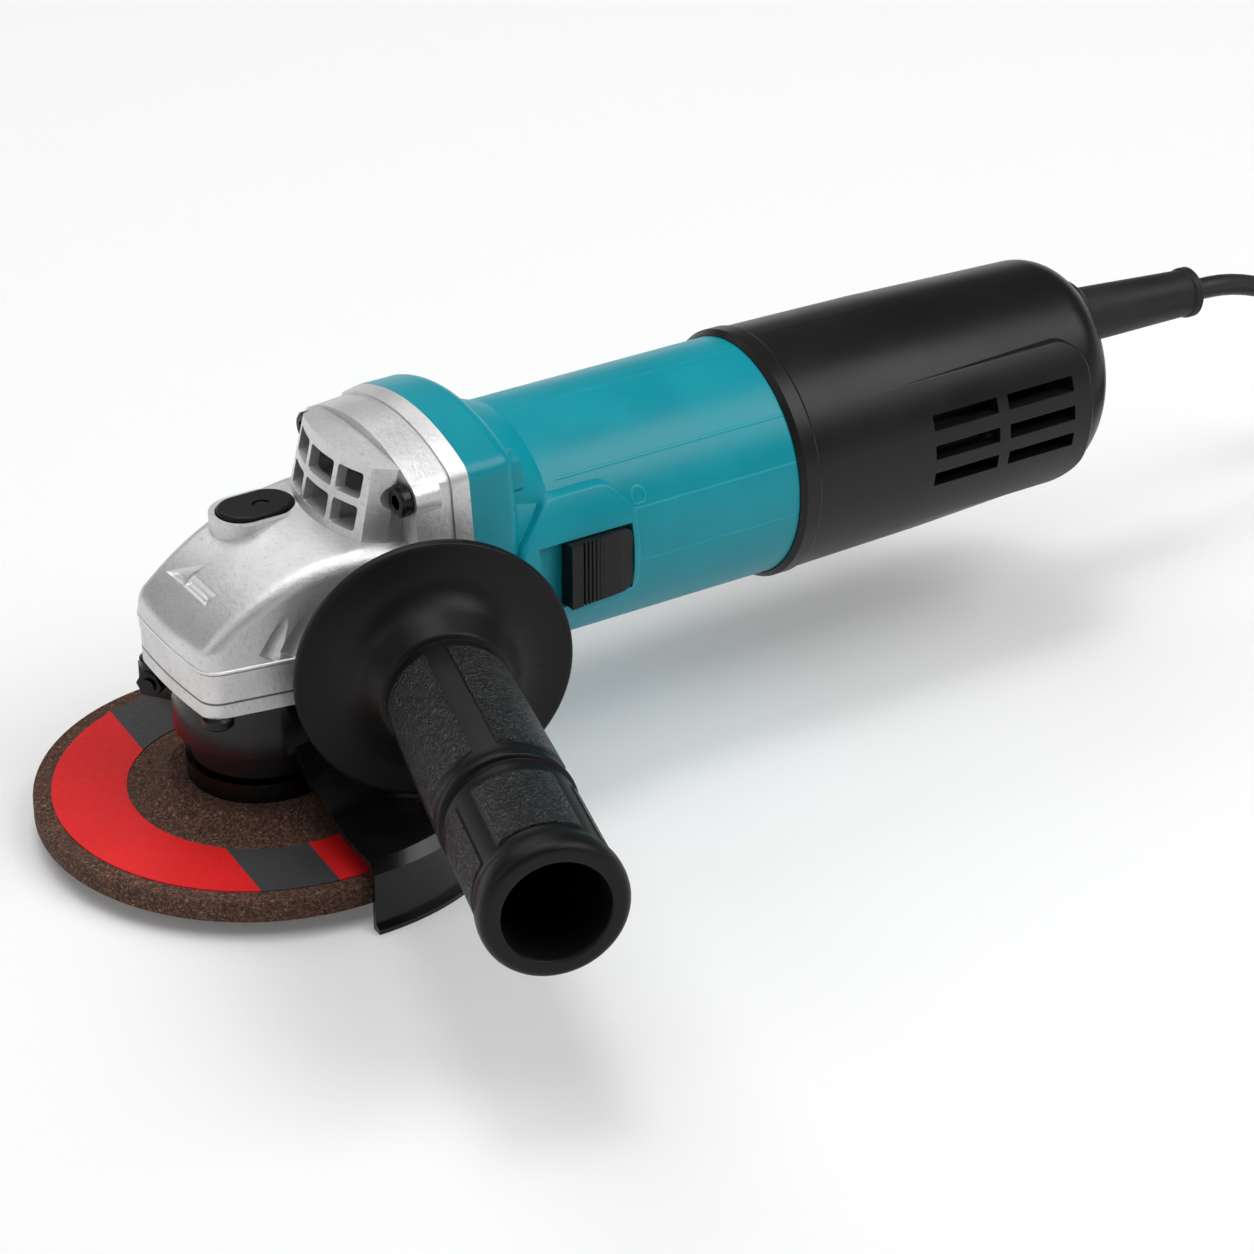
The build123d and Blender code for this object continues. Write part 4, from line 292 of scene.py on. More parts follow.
def refine(profile, step):
    """Profile with its long spans divided so that no span is longer than `step`."""
    lengths = np.linalg.norm(np.diff(profile, axis=0), axis=1)
    counts = np.maximum(1, np.ceil(lengths / step).astype(int))
    spans = [
        a + (b - a) * (np.arange(n) / n)[:, None] for a, b, n in zip(profile[:-1], profile[1:], counts)
    ]
    return np.vstack([*spans, profile[-1:]])


# Materials

class Recipe:
    """A material in the making: the shader, and short calls for the nodes that feed it."""

    def __init__(self, name, colour, roughness, metallic=0.0, specular=0.5):
        self.material = bpy.data.materials.new(name)
        self.material.use_nodes = True
        self.tree = self.material.node_tree
        self.shader = self.tree.nodes["Principled BSDF"]
        self.shader.inputs["Base Color"].default_value = (*colour, 1.0)
        self.shader.inputs["Roughness"].default_value = roughness
        self.shader.inputs["Metallic"].default_value = metallic
        self.shader.inputs["Specular IOR Level"].default_value = specular
        self.place = self.node("ShaderNodeTexCoord").outputs["Object"]
        self.normal = None

    def node(self, kind, **settings):
        """New node with some of its settings."""
        node = self.tree.nodes.new(kind)
        for key, value in settings.items():
            setattr(node, key, value)
        return node

    def feed(self, socket, value):
        """Links another node's output to a socket, or sets a plain value on it."""
        if hasattr(value, "is_output"):
            self.tree.links.new(value, socket)
        else:
            socket.default_value = value

    def noise(self, scale, detail=4.0, roughness=0.55, stretch=None, distortion=0.0):
        """Fractal noise from 0 to 1, with `scale` lumps to the metre."""
        node = self.node("ShaderNodeTexNoise")
        source = self.place
        if stretch:
            mapping = self.node("ShaderNodeMapping")
            self.feed(mapping.inputs["Vector"], source)
            mapping.inputs["Scale"].default_value = stretch
            source = mapping.outputs["Vector"]
        self.feed(node.inputs["Vector"], source)
        node.inputs["Scale"].default_value = scale
        node.inputs["Detail"].default_value = detail
        node.inputs["Roughness"].default_value = roughness
        node.inputs["Distortion"].default_value = distortion
        return node.outputs["Fac"]

    def cells(self, scale):
        """One chance level from 0 to 1 for each grain."""
        node = self.node("ShaderNodeTexVoronoi")
        self.feed(node.inputs["Vector"], self.place)
        node.inputs["Scale"].default_value = scale
        return self.axes(node.outputs["Color"])[0]

    def math(self, operation, first, second=0.0):
        node = self.node("ShaderNodeMath", operation=operation)
        self.feed(node.inputs[0], first)
        self.feed(node.inputs[1], second)
        return node.outputs[0]

    def span(self, value, low, high, to_low=0.0, to_high=1.0):
        """Smoothstep of a value from low to high, which may run downwards."""
        node = self.node("ShaderNodeMapRange", interpolation_type="SMOOTHSTEP")
        self.feed(node.inputs["Value"], value)
        node.inputs["From Min"].default_value = low
        node.inputs["From Max"].default_value = high
        node.inputs["To Min"].default_value = to_low
        node.inputs["To Max"].default_value = to_high
        return node.outputs["Result"]

    def mix(self, share, first, second):
        """Blend of two colours: the first at share 0, the second at share 1."""
        node = self.node("ShaderNodeMix", data_type="RGBA")
        self.feed(node.inputs["Factor"], share)
        colours = [s for s in node.inputs if s.type == "RGBA"]
        self.feed(colours[0], first if hasattr(first, "is_output") else (*first, 1.0))
        self.feed(colours[1], second if hasattr(second, "is_output") else (*second, 1.0))
        return [s for s in node.outputs if s.type == "RGBA"][0]

    def millimetres(self):
        """The place on the part, in millimetres."""
        node = self.node("ShaderNodeMapping")
        self.feed(node.inputs["Vector"], self.place)
        node.inputs["Scale"].default_value = (1.0 / MM, 1.0 / MM, 1.0 / MM)
        return node.outputs["Vector"]

    def away(self, value, middle, half):
        """Distance of a value from a middle, less a half width."""
        return self.math("SUBTRACT", self.math("ABSOLUTE", self.math("SUBTRACT", value, middle)), half)

    def reach(self, first, second):
        """Length of a flat vector: the root of the sum of its squares."""
        squares = self.math("MULTIPLY", first, first), self.math("MULTIPLY", second, second)
        return self.math("SQRT", self.math("ADD", *squares))

    def axes(self, place=None):
        """The three parts of a vector, or of the place on the part."""
        node = self.node("ShaderNodeSeparateXYZ")
        self.feed(node.inputs[0], place or self.place)
        return node.outputs

    def attribute(self, name):
        return self.node("ShaderNodeAttribute", attribute_name=name).outputs["Fac"]

    def bump(self, height, strength, distance):
        """Adds a relief, its distance in millimetres, to those before it."""
        node = self.node("ShaderNodeBump")
        node.inputs["Strength"].default_value = strength
        node.inputs["Distance"].default_value = distance * MM
        self.feed(node.inputs["Height"], height)
        if self.normal is not None:
            self.feed(node.inputs["Normal"], self.normal)
        self.normal = node.outputs["Normal"]

    def done(self, colour, roughness=None):
        """Joins the colour, roughness and relief to the shader, and gives the material."""
        self.feed(self.shader.inputs["Base Color"], colour)
        if roughness is not None:
            self.feed(self.shader.inputs["Roughness"], roughness)
        if self.normal is not None:
            self.feed(self.shader.inputs["Normal"], self.normal)
        return self.material


def shade(colour, factor):
    """Colour made darker or lighter by a factor."""
    return tuple(min(1.0, channel * factor) for channel in colour)


def cast_aluminium(colour, arrow_depth):
    """Blasted casting: fine grain, slow patches of grey, a bead and a dark line round the nose, and an arrow.

    The arrow is sunk: a bar along Y and a triangle at its end, each with one broad wall on its far edge and a
    long slope up to the other edges. The bead and the dark line are lines of constant Z.
    Painted light: the bead and the arrow's far walls are painted lighter as a painted highlight, and the dark
    line where housing and bearing box meet is painted shade of the gap between them.
    """
    make = Recipe("cast_aluminium", colour, 0.4, metallic=0.72)
    grain = make.noise(1500, 3.0, 0.7)
    pebbles = make.noise(620, 3.0, 0.5)
    patches = make.noise(60, 5.0, 0.6)
    tone = make.mix(make.span(patches, 0.3, 0.72), shade(colour, 0.9), shade(colour, 1.04))
    tone = make.mix(make.span(make.noise(900, 3.0, 0.6), 0.3, 0.45), shade(colour, 0.8), tone)
    x, y, z = make.axes(make.millimetres())
    bar_x = make.away(x, ARROW_BAR_X, ARROW_BAR_HALF_X)
    bar = make.math("MAXIMUM", bar_x, make.away(y, ARROW_BAR_Y, ARROW_BAR_HALF_Y))
    bar_wall = make.math("MULTIPLY", make.span(bar, 0.2, -0.2), make.span(x, -14.6, -14.3))
    bar = make.math("MULTIPLY", make.span(bar, 0.1, -1.5), make.span(x, -16.6, -14.4))
    slant = make.math("ADD", make.math("MULTIPLY", x, 0.801), make.math("MULTIPLY", y, 0.598))
    slant = make.math("ADD", slant, 4.42)
    head = make.math("MAXIMUM", slant, make.math("SUBTRACT", ARROW_HEAD_X, x))
    head = make.math("MAXIMUM", head, make.math("SUBTRACT", ARROW_HEAD_Y, y))
    head_wall = make.math("MULTIPLY", make.span(head, 0.2, -0.2), make.span(slant, -1.9, -1.6))
    head = make.math("MULTIPLY", make.span(head, 0.1, -1.5), make.span(slant, -6.0, -1.6))
    high = make.math("GREATER_THAN", z, ARROW_LOW_Z)
    arrow = make.math("MULTIPLY", make.math("MAXIMUM", bar, head), high)
    # Painted highlight: mask of the arrow's far walls, which are painted lighter.
    wall_highlight = make.math("MULTIPLY", make.math("MAXIMUM", bar_wall, head_wall), high)
    on_nose = make.math("LESS_THAN", x, NOSE_END_X)
    bead = make.math("MULTIPLY", make.span(make.away(z, NOSE_BEAD_Z, 0.0), 0.75, 0.2), on_nose)
    # Painted shade: mask of the line where housing and bearing box meet.
    joint_shade = make.math("MULTIPLY", make.span(make.away(z, BOX_JOINT_Z, 0.0), 0.45, 0.15), on_nose)
    # Painted highlight: the bead is painted lighter, on top of its relief.
    tone = make.mix(make.math("MULTIPLY", bead, 0.6), tone, shade(colour, 1.3))
    # Painted highlight: the arrow's far walls are painted lighter.
    tone = make.mix(make.math("MULTIPLY", wall_highlight, 0.8), tone, shade(colour, 1.4))
    # Painted shade: a near-black line in the gap between housing and bearing box.
    tone = make.mix(make.math("MULTIPLY", joint_shade, 0.9), tone, shade(colour, 0.08))
    relief = make.math("SUBTRACT", bead, make.math("MULTIPLY", arrow, arrow_depth / (0.5 * MM)))
    make.bump(relief, 1.0, 0.5)
    make.bump(grain, 0.3, 0.2)
    make.bump(pebbles, 0.3, 0.3)
    return make.done(tone, make.span(grain, 0.3, 0.7, 0.36, 0.48))


def teal_housing(colour):
    """Moulded motor housing with mould lines, a rectangle outline and a small ring mark on the side: in
    relief, and painted lighter as a painted highlight.
    """
    make = Recipe("teal_plastic", colour, 0.36, specular=0.3)
    x, y, z = make.axes(make.millimetres())
    near = make.math("LESS_THAN", y, 0.0)
    tall = make.away(z, RECTANGLE_Z, RECTANGLE_HALF_Z)
    rectangle = make.math("ABSOLUTE", make.math("MAXIMUM", tall, make.math("SUBTRACT", RECTANGLE_X, x)))
    ring_x, ring_z = make.math("SUBTRACT", x, RING_X), make.math("SUBTRACT", z, RING_Z)
    ring = make.away(make.reach(ring_x, ring_z), RING_R, 0.0)
    turn = make.math("ARCTAN2", make.math("SUBTRACT", z, MOTOR_Z), make.math("MULTIPLY", y, -1.0))
    seam = make.math("MULTIPLY", make.away(turn, SEAM_ANGLE, 0.0), BARREL_R)
    crown = make.math("MULTIPLY", make.away(turn, CROWN_ANGLE, 0.0), BARREL_R)
    line = make.math("MINIMUM", make.math("MINIMUM", rectangle, ring), make.math("MINIMUM", seam, crown))
    on_barrel = make.math("MULTIPLY", make.span(x, 72.0, 74.0), near)
    marks = make.math("MULTIPLY", make.span(line, 0.5, 0.12), on_barrel)
    slow = make.noise(28, 4.0, 0.55)
    tone = make.mix(make.span(slow, 0.3, 0.7), shade(colour, 0.92), shade(colour, 1.08))
    # Painted highlight: the mould lines, rectangle and ring are painted lighter, besides their relief.
    tone = make.mix(make.math("MULTIPLY", marks, 0.3), tone, shade(colour, 1.5))
    make.bump(marks, 0.5, 0.2)
    make.bump(make.noise(2600, 2.0, 0.6), 0.1, 0.12)
    return make.done(tone, make.span(slow, 0.25, 0.75, 0.3, 0.42))


def moulded_plastic(name, colour, roughness, grain=0.12, specular=0.5):
    """Moulded plastic: spark-eroded texture and slow changes of tone and roughness."""
    make = Recipe(name, colour, roughness, specular=specular)
    fine = make.noise(2600, 2.0, 0.6)
    slow = make.noise(28, 4.0, 0.55)
    tone = make.mix(make.span(slow, 0.3, 0.7), shade(colour, 0.9), shade(colour, 1.1))
    make.bump(fine, grain, 0.12)
    return make.done(tone, make.span(slow, 0.25, 0.75, roughness * 0.88, roughness * 1.14))


def bare_steel(name, colour, roughness):
    """Turned or ground steel with fine tool marks."""
    make = Recipe(name, colour, roughness, metallic=1.0)
    marks = make.noise(420, 3.0, 0.6, stretch=(1.0, 1.0, 9.0))
    tone = make.mix(marks, shade(colour, 0.86), shade(colour, 1.1))
    make.bump(marks, 0.12, 0.1)
    return make.done(tone, make.span(marks, 0.3, 0.7, roughness * 0.8, roughness * 1.25))


def painted_guard():
    """Gloss black paint on pressed steel, with slight orange peel."""
    make = Recipe("guard_paint", (0.006, 0.006, 0.0065), 0.2, specular=0.25)
    peel = make.noise(420, 2.0, 0.5)
    dust = make.noise(45, 5.0, 0.6)
    make.bump(peel, 0.12, 0.12)
    make.shader.inputs["Coat Weight"].default_value = 0.2
    make.shader.inputs["Coat Roughness"].default_value = 0.12
    tone = make.mix(make.span(dust, 0.45, 0.8), (0.005, 0.005, 0.0055), (0.012, 0.0115, 0.011))
    return make.done(tone, make.span(dust, 0.35, 0.75, 0.17, 0.3))


def bonded_abrasive(colour):
    """Resin-bonded grain: brown and black grit with a few pale crystals, and open pores painted dark as
    painted shade.
    """
    make = Recipe("bonded_abrasive", colour, 0.85, specular=0.3)
    level = make.cells(1900)
    pores = make.noise(1500, 3.0, 0.7)
    tone = make.mix(make.span(level, 0.1, 0.95), shade(colour, 0.4), shade(colour, 1.5))
    tone = make.mix(make.span(level, 0.95, 0.98), tone, (0.3, 0.2, 0.14))
    # Painted shade: the open pores are painted dark.
    tone = make.mix(make.span(pores, 0.34, 0.48), shade(colour, 0.22), tone)
    tone = make.mix(make.span(make.noise(55, 3.0), 0.3, 0.7, 0.0, 0.4), tone, shade(colour, 0.75))
    make.bump(level, 0.5, 0.22)
    make.bump(pores, 0.6, 0.4)
    return make.done(tone)


def label_print(red):
    """Printed paper ring: red field crossed by one straight dark grey band, slightly worn into the grain."""
    make = Recipe("label_print", red, 0.5, specular=0.2)
    x, y, _ = make.axes(make.millimetres())
    leaning = make.math("SUBTRACT", x, make.math("MULTIPLY", y, BAND_LEAN))
    across = make.away(leaning, BAND_X, BAND_HALF)
    wear = make.span(make.noise(1300, 3.0, 0.7), 0.68, 0.82)
    field = make.mix(make.span(make.noise(40, 3.0), 0.25, 0.75), shade(red, 0.92), red)
    tone = make.mix(make.span(across, 0.12, -0.12), field, (0.058, 0.058, 0.06))
    tone = make.mix(make.math("MULTIPLY", wear, 0.4), tone, (0.07, 0.04, 0.03))
    make.bump(make.noise(1000, 3.0, 0.6), 0.25, 0.2)
    return make.done(tone, make.span(make.noise(600, 2.0), 0.3, 0.7, 0.42, 0.58))


def grip_smooth(colour):
    """Smooth moulded skin of the grip's flange, ring and end."""
    make = Recipe("grip_smooth", shade(colour, 0.6), 0.4, specular=0.2)
    slow = make.noise(40, 4.0, 0.6)
    make.bump(make.noise(2600, 2.0), 0.06, 0.1)
    tone = make.mix(slow, shade(colour, 0.5), shade(colour, 0.75))
    return make.done(tone, make.span(slow, 0.3, 0.7, 0.38, 0.46))


def grip_leather(colour):
    """Leathery texture of the grip's panels: swirling ridges with pores between them, ridge tops painted
    lighter as a painted highlight.
    """
    make = Recipe("grip_leather", colour, 0.32, specular=0.6)
    panel = make.attribute("panel")
    ridges = make.noise(320, 2.0, 0.5, distortion=3.0)
    coarse = make.math("ADD", make.math("MULTIPLY", make.noise(1100, 2.0, 0.6), 0.35), ridges)
    make.bump(make.math("MULTIPLY", coarse, panel), 1.0, 3.2)
    # Painted highlight: the ridge tops are painted up to 1.9 times lighter than the valleys.
    tone = make.mix(make.span(ridges, 0.35, 0.65), shade(colour, 0.9), shade(colour, 1.9))
    return make.done(tone, make.span(ridges, 0.35, 0.65, 0.42, 0.3))


def cord_rubber(colour):
    """Soft cord jacket, faintly ribbed by extrusion."""
    make = Recipe("cord_jacket", colour, 0.5)
    drawn = make.noise(900, 3.0, 0.6)
    make.bump(drawn, 0.15, 0.15)
    tone = make.mix(make.noise(90, 3.0), shade(colour, 0.85), shade(colour, 1.2))
    return make.done(tone, make.span(drawn, 0.3, 0.7, 0.44, 0.58))


def wound_copper():
    """Enamelled wire laid side by side."""
    make = Recipe("wound_copper", (0.5, 0.17, 0.06), 0.35, metallic=0.8)
    wire = make.noise(380, 2.0, 0.5, stretch=(0.15, 3.0, 3.0))
    tone = make.mix(wire, (0.34, 0.1, 0.035), (0.62, 0.24, 0.09))
    make.bump(wire, 0.5, 0.4)
    return make.done(tone)


FINISHES = {
    "alloy": ("gear_housing", "bearing_box"),
    "teal": ("motor_housing",),
    "cover": ("rear_cover",),
    "black": (
        "dust_ring", "shaft_lock_button", "switch_knob", "switch_rod", "switch_unit", "baffle_ring", "fan",
        "cord_clamp", "cord_tie",
    ),
    "rubber": ("o_ring", "rear_bearing_rubber", "cord_guard", "plug"),
    "guard": ("wheel_guard",),
    "abrasive": ("grinding_wheel",),
    "label": ("wheel_label",),
    "screws": (
        "bearing_box_screws", "gear_housing_screws", "guard_clamp_screw", "rear_cover_screws", "lock_nut",
        "gear_retaining_ring", "pinion_nut", "inner_flange",
    ),
    "steel": (
        "spindle", "spindle_bearing_outer", "spindle_bearing_inner", "spindle_bearing_retainer",
        "bevel_gear", "needle_bush", "shaft_lock_pin", "shaft_lock_spring", "field_screws", "brush_springs",
        "armature_shaft", "pinion", "front_bearing_outer", "front_bearing_inner", "front_bearing_retainer",
        "rear_bearing_outer", "rear_bearing_inner", "cord_clamp_screws", "side_handle_bolt", "plug_pins",
    ),
    "laminations": ("field_core", "armature_core"),
    "copper": ("field_coils", "armature_windings", "commutator"),
    "brass": ("brush_holders",),
    "carbon": ("carbon_brushes",),
}


def paint(node, material):
    """Gives a CAD node one material."""
    slots = NODES[node].data.materials
    slots.clear()
    slots.append(material)


class GRINDER_OT_finishes(Operator):
    """Give every CAD piece its finish."""

    bl_idname = "grinder.finishes"
    bl_label = "Finishes"

    def execute(self, context):
        colours = context.scene.grinder_colours
        black = tuple(colours.black)
        made = {
            "alloy": cast_aluminium(tuple(colours.aluminium), context.scene.grinder_sizes.arrow_depth),
            "teal": teal_housing(tuple(colours.teal)),
            "cover": moulded_plastic("cover_plastic", black, 0.34, grain=0.14, specular=0.25),
            "black": moulded_plastic("black_plastic", shade(black, 0.7), 0.4, specular=0.2),
            "rubber": moulded_plastic("black_rubber", shade(black, 1.6), 0.52, grain=0.18, specular=0.3),
            "guard": painted_guard(),
            "abrasive": bonded_abrasive(tuple(colours.abrasive)),
            "label": label_print(tuple(colours.label)),
            "screws": bare_steel("blackened_steel", (0.03, 0.03, 0.032), 0.34),
            "steel": bare_steel("ground_steel", (0.56, 0.56, 0.57), 0.3),
            "laminations": bare_steel("lamination_steel", (0.28, 0.28, 0.3), 0.45),
            "copper": wound_copper(),
            "brass": bare_steel("brass", (0.72, 0.56, 0.28), 0.28),
            "carbon": moulded_plastic("carbon", (0.02, 0.02, 0.02), 0.6),
        }
        for finish, nodes in FINISHES.items():
            for node in nodes:
                paint(node, made[finish])
        return {"FINISHED"}


class GRINDER_OT_grip(Operator):
    """Make the side handle's grip: dished flange, collar, textured panels, ring and rolled end."""

    bl_idname = "grinder.grip"
    bl_label = "Side handle grip"

    def execute(self, context):
        rise = context.scene.grinder_sizes.panel_rise / MM
        profile = refine(rounded_profile(GRIP_PROFILE), GRIP_STEP)
        turn = np.linspace(0, 2 * np.pi, GRIP_COLUMNS, endpoint=False)
        radius, height = profile[1:-1, :1], profile[1:-1, 1:]
        panel = grip_panels(radius, height, turn[None, :])
        radius = radius + rise * panel
        height = height + MOULD_LINE_RISE * mould_line(radius, height, turn[None, :])
        rings = (
            HANDLE_ROOT
            + HANDLE_AXIS * height[..., None]
            + (radius * np.cos(turn))[..., None] * HANDLE_RIGHT
            + (radius * np.sin(turn))[..., None] * HANDLE_UP
        )
        poles = HANDLE_ROOT + HANDLE_AXIS * profile[[0, -1], 1:]
        points = np.vstack([rings.reshape(-1, 3), poles])
        piece = make_piece("side_handle_skin", points, closed_faces(*panel.shape))
        add_attribute(piece, "panel", np.append(panel, [0.0, 0.0]))
        black = tuple(context.scene.grinder_colours.black)
        piece.data.materials.append(grip_smooth(black))
        piece.data.materials.append(grip_leather(black))
        leathery = np.append(panel[:-1] > 0.5, np.zeros(2 * GRIP_COLUMNS))
        piece.data.polygons.foreach_set("material_index", leathery.astype(np.int32))
        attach(piece, "housing")
        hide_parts("side_handle_grip")
        return {"FINISHED"}


def grip_panels(radius, height, turn):
    """1 on the textured panels and 0 elsewhere: four round the hand part, and four turned ones at the end.

    Each panel is the product of a smoothstep along the axis and one across the angle to its middle.
    """
    outside = (height > 24.0) & (radius > 13.6)

    def ring(low, high, middle, half):
        along = smoothstep(low, low + 0.5, height) * smoothstep(high, high - 0.5, height)
        away = np.abs((np.degrees(turn) - middle + 45.0) % 90.0 - 45.0)
        return along * smoothstep(half, half - 1.2, away)

    return (ring(25.5, 74.5, 32.0, 36.0) + ring(86.0, 111.0, 67.0, 36.0)) * outside


def mould_line(radius, height, turn):
    """1 on the two thin parting lines of the flange's face, which lie on one plane through the axis."""
    face = smoothstep(18.0, 20.0, radius) * smoothstep(34.0, 33.0, radius) * (height > 9.5)
    away = np.abs((np.degrees(turn) + 34.0 + 90.0) % 180.0 - 90.0)
    return face * smoothstep(1.0, 0.2, away)


def coil_line():
    """Points of the coil's axis: four layers wound in and out, a climb between them and a tail to the plug.

    A layer's radius changes by the pitch each turn. In a climb of half a turn the radius follows
    r + s(p/2pi)(a - a^2/pi) and the height a smoothstep. The tail moves out and then down to the plug.
    """
    rate = COIL_PITCH / (2 * np.pi)
    radius, turns, rows = COIL_R_OUT, 0.0, []
    for layer in range(4):
        sense = -1 if layer % 2 == 0 else 1
        span = 1.75 if layer == 3 else 2.25
        low = COIL_LOW_Z + layer * COIL_LAYER
        part = np.arange(0, span, 1.0 / POINTS_PER_TURN)
        rows.append(np.stack([turns + part, radius + sense * COIL_PITCH * part, 0 * part + low], axis=1))
        radius, turns = radius + sense * COIL_PITCH * span, turns + span
        part = np.arange(0, 0.5, 1.0 / POINTS_PER_TURN)
        share, angle = part / 0.5, 2 * np.pi * part
        if layer < 3:
            r = radius + sense * rate * (angle - angle**2 / np.pi)
            z = low + COIL_LAYER * smoothstep(0, 1, share)
        else:
            lead = share * (1 - share) ** 2 * np.pi * rate
            r = radius + lead + (COIL_TAIL_R - radius) * smoothstep(0, 1, share)
            z = low - (low - PLUG_Z) * smoothstep(0.5, 1, share)
        rows.append(np.stack([turns + part, r, z], axis=1))
        turns += 0.5
    rows.append(np.array([[turns, COIL_TAIL_R, PLUG_Z]]))
    turn, r, z = np.vstack(rows).T
    angle = np.pi / 2 - 2 * np.pi * turn
    return np.stack([COIL_CENTRE[0] + r * np.cos(angle), COIL_CENTRE[1] + r * np.sin(angle), z], axis=1)


class GRINDER_OT_cord(Operator):
    """Lay the mains cord from the strain relief over the floor into its coil and plug."""

    bl_idname = "grinder.cord"
    bl_label = "Mains cord"

    def execute(self, context):
        diameter = context.scene.grinder_sizes.cord_diameter
        end = (COIL_CENTRE[0] - 6.0, COIL_CENTRE[1] - COIL_TAIL_R, PLUG_Z)
        route = np.vstack([CORD_ROUTE, coil_line(), [end]]) * MM
        curve = bpy.data.curves.new("mains_cord_line", "CURVE")
        curve.dimensions = "3D"
        spline = curve.splines.new("NURBS")
        spline.points.add(len(route) - 1)
        spline.points.foreach_set("co", np.hstack([route, np.ones((len(route), 1))]).ravel())
        spline.order_u = 3
        spline.use_endpoint_u = True
        spline.resolution_u = 4
        curve.bevel_depth = diameter / 2
        curve.bevel_resolution = 4
        curve.use_fill_caps = True
        piece = bpy.data.objects.new("mains_cord_line", curve)
        context.scene.collection.objects.link(piece)
        curve.materials.append(cord_rubber(tuple(context.scene.grinder_colours.black)))
        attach(piece, "housing")
        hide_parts("mains_cord", "cord_coil")
        return {"FINISHED"}


class GRINDER_OT_lock_spring(Operator):
    """Wind the shaft lock's spring as one coil fixed to the housing; the real spring is squashed as the
    button goes down.
    """

    bl_idname = "grinder.lock_spring"
    bl_label = "Shaft lock spring"

    def execute(self, context):
        low, high = (np.array(corner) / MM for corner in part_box("shaft_lock_spring"))
        centre, length = (low + high) / 2, high[2] - low[2]
        rings, ends = wound_wire(centre, low[2], length, (high[0] - low[0]) / 2)
        points = np.vstack([rings.reshape(-1, 3), ends])
        piece = make_piece("shaft_lock_coil", points, closed_faces(*rings.shape[:2]))
        piece.data.materials.append(NODES["shaft_lock_spring"].data.materials[0])
        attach(piece, "housing")
        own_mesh(piece)
        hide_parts("shaft_lock_spring")
        return {"FINISHED"}


def wound_wire(centre, low_z, length, outer_r):
    """Round wire along a helix: p(t, b) = path(t) + wire_r (cos b n1 + sin b n2), and the two end points.

    n1 points away from the spring's axis, and n2 is the path's direction crossed with n1.
    """
    coil_r = outer_r - LOCK_WIRE_R
    t = np.linspace(0, 2 * np.pi * LOCK_TURNS, 36 * LOCK_TURNS + 1)
    rise = (length - 2 * LOCK_WIRE_R) / t[-1]
    outward = np.stack([np.cos(t), np.sin(t), 0 * t], axis=-1)
    onward = np.stack([-coil_r * np.sin(t), coil_r * np.cos(t), rise + 0 * t], axis=-1)
    onward = onward / np.linalg.norm(onward, axis=-1, keepdims=True)
    across = np.cross(onward, outward)
    path = np.array([centre[0], centre[1], low_z + LOCK_WIRE_R]) + coil_r * outward
    path[:, 2] += rise * t
    b = np.linspace(0, 2 * np.pi, 14, endpoint=False)[None, :, None]
    rings = path[:, None] + LOCK_WIRE_R * (np.cos(b) * outward[:, None] + np.sin(b) * across[:, None])
    return rings, path[[0, -1]]


class GRINDER_OT_stage(Operator):
    """Set the floor, the softboxes, the world and the camera."""

    bl_idname = "grinder.stage"
    bl_label = "Stage"

    def execute(self, context):
        stage = context.scene.grinder_stage
        far, low = FLOOR_HALF, FLOOR_Z / MM - FLOOR_GAP
        corners = [(-far, -far, low), (far, -far, low), (far, far, low), (-far, far, low)]
        floor = make_piece("floor", corners, [(0, 1, 2, 3)])
        floor.data.materials.append(floor_paper(stage.floor_glow))
        pale_world(context.scene, stage.fill)
        for name, (place, size) in SOFTBOXES.items():
            softbox(f"{name}_softbox", place, size, getattr(stage, name))
        photo_camera(context.scene, stage)
        context.scene.view_settings.view_transform = "Standard"
        return {"FINISHED"}


def floor_paper(glow):
    """White paper, lighter to the camera and to reflections, and more so far off, where no lamp reaches.

    It takes the part's shadow, because the added light is small close by.
    """
    make = Recipe("floor_paper", (0.88, 0.88, 0.88), 0.9, specular=0.1)
    grain = make.noise(600, 3.0)
    seen = make.node("ShaderNodeLightPath").outputs
    direct = make.math("MAXIMUM", seen["Is Camera Ray"], seen["Is Glossy Ray"])
    direct = make.math("MAXIMUM", direct, seen["Is Transmission Ray"])
    make.shader.inputs["Emission Color"].default_value = (1.0, 1.0, 1.0, 1.0)
    x, y, _ = make.axes()
    added = make.span(make.reach(x, y), 0.7, 3.2, glow, 0.85)
    make.feed(make.shader.inputs["Emission Strength"], make.math("MULTIPLY", direct, added))
    return make.done(make.mix(grain, (0.875, 0.875, 0.875), (0.885, 0.885, 0.885)))


def pale_world(scene, fill):
    """Pale surroundings: white by the horizon, dimmer overhead, by a smoothstep of the direction's height."""
    world = bpy.data.worlds.new("studio")
    world.use_nodes = True
    nodes, links = world.node_tree.nodes, world.node_tree.links
    direction = nodes.new("ShaderNodeTexCoord").outputs["Generated"]
    split = nodes.new("ShaderNodeSeparateXYZ")
    links.new(direction, split.inputs[0])
    level = nodes.new("ShaderNodeMapRange")
    level.interpolation_type = "SMOOTHSTEP"
    links.new(split.outputs["Z"], level.inputs["Value"])
    level.inputs["From Min"].default_value = 0.06
    level.inputs["From Max"].default_value = 0.18
    level.inputs["To Min"].default_value = 1.0
    level.inputs["To Max"].default_value = fill
    links.new(level.outputs["Result"], nodes["Background"].inputs["Strength"])
    nodes["Background"].inputs["Color"].default_value = (1.0, 1.0, 1.0, 1.0)
    scene.world = world


def softbox(name, place, size, power):
    """Rectangular lamp that faces the part."""
    lamp = bpy.data.lights.new(name, "AREA")
    lamp.shape = "RECTANGLE"
    lamp.size, lamp.size_y = size
    lamp.energy = power
    holder = bpy.data.objects.new(name, lamp)
    holder.location = place
    holder.rotation_euler = (Vector(LIT_POINT) - Vector(place)).to_track_quat("-Z", "Y").to_euler()
    bpy.context.scene.collection.objects.link(holder)


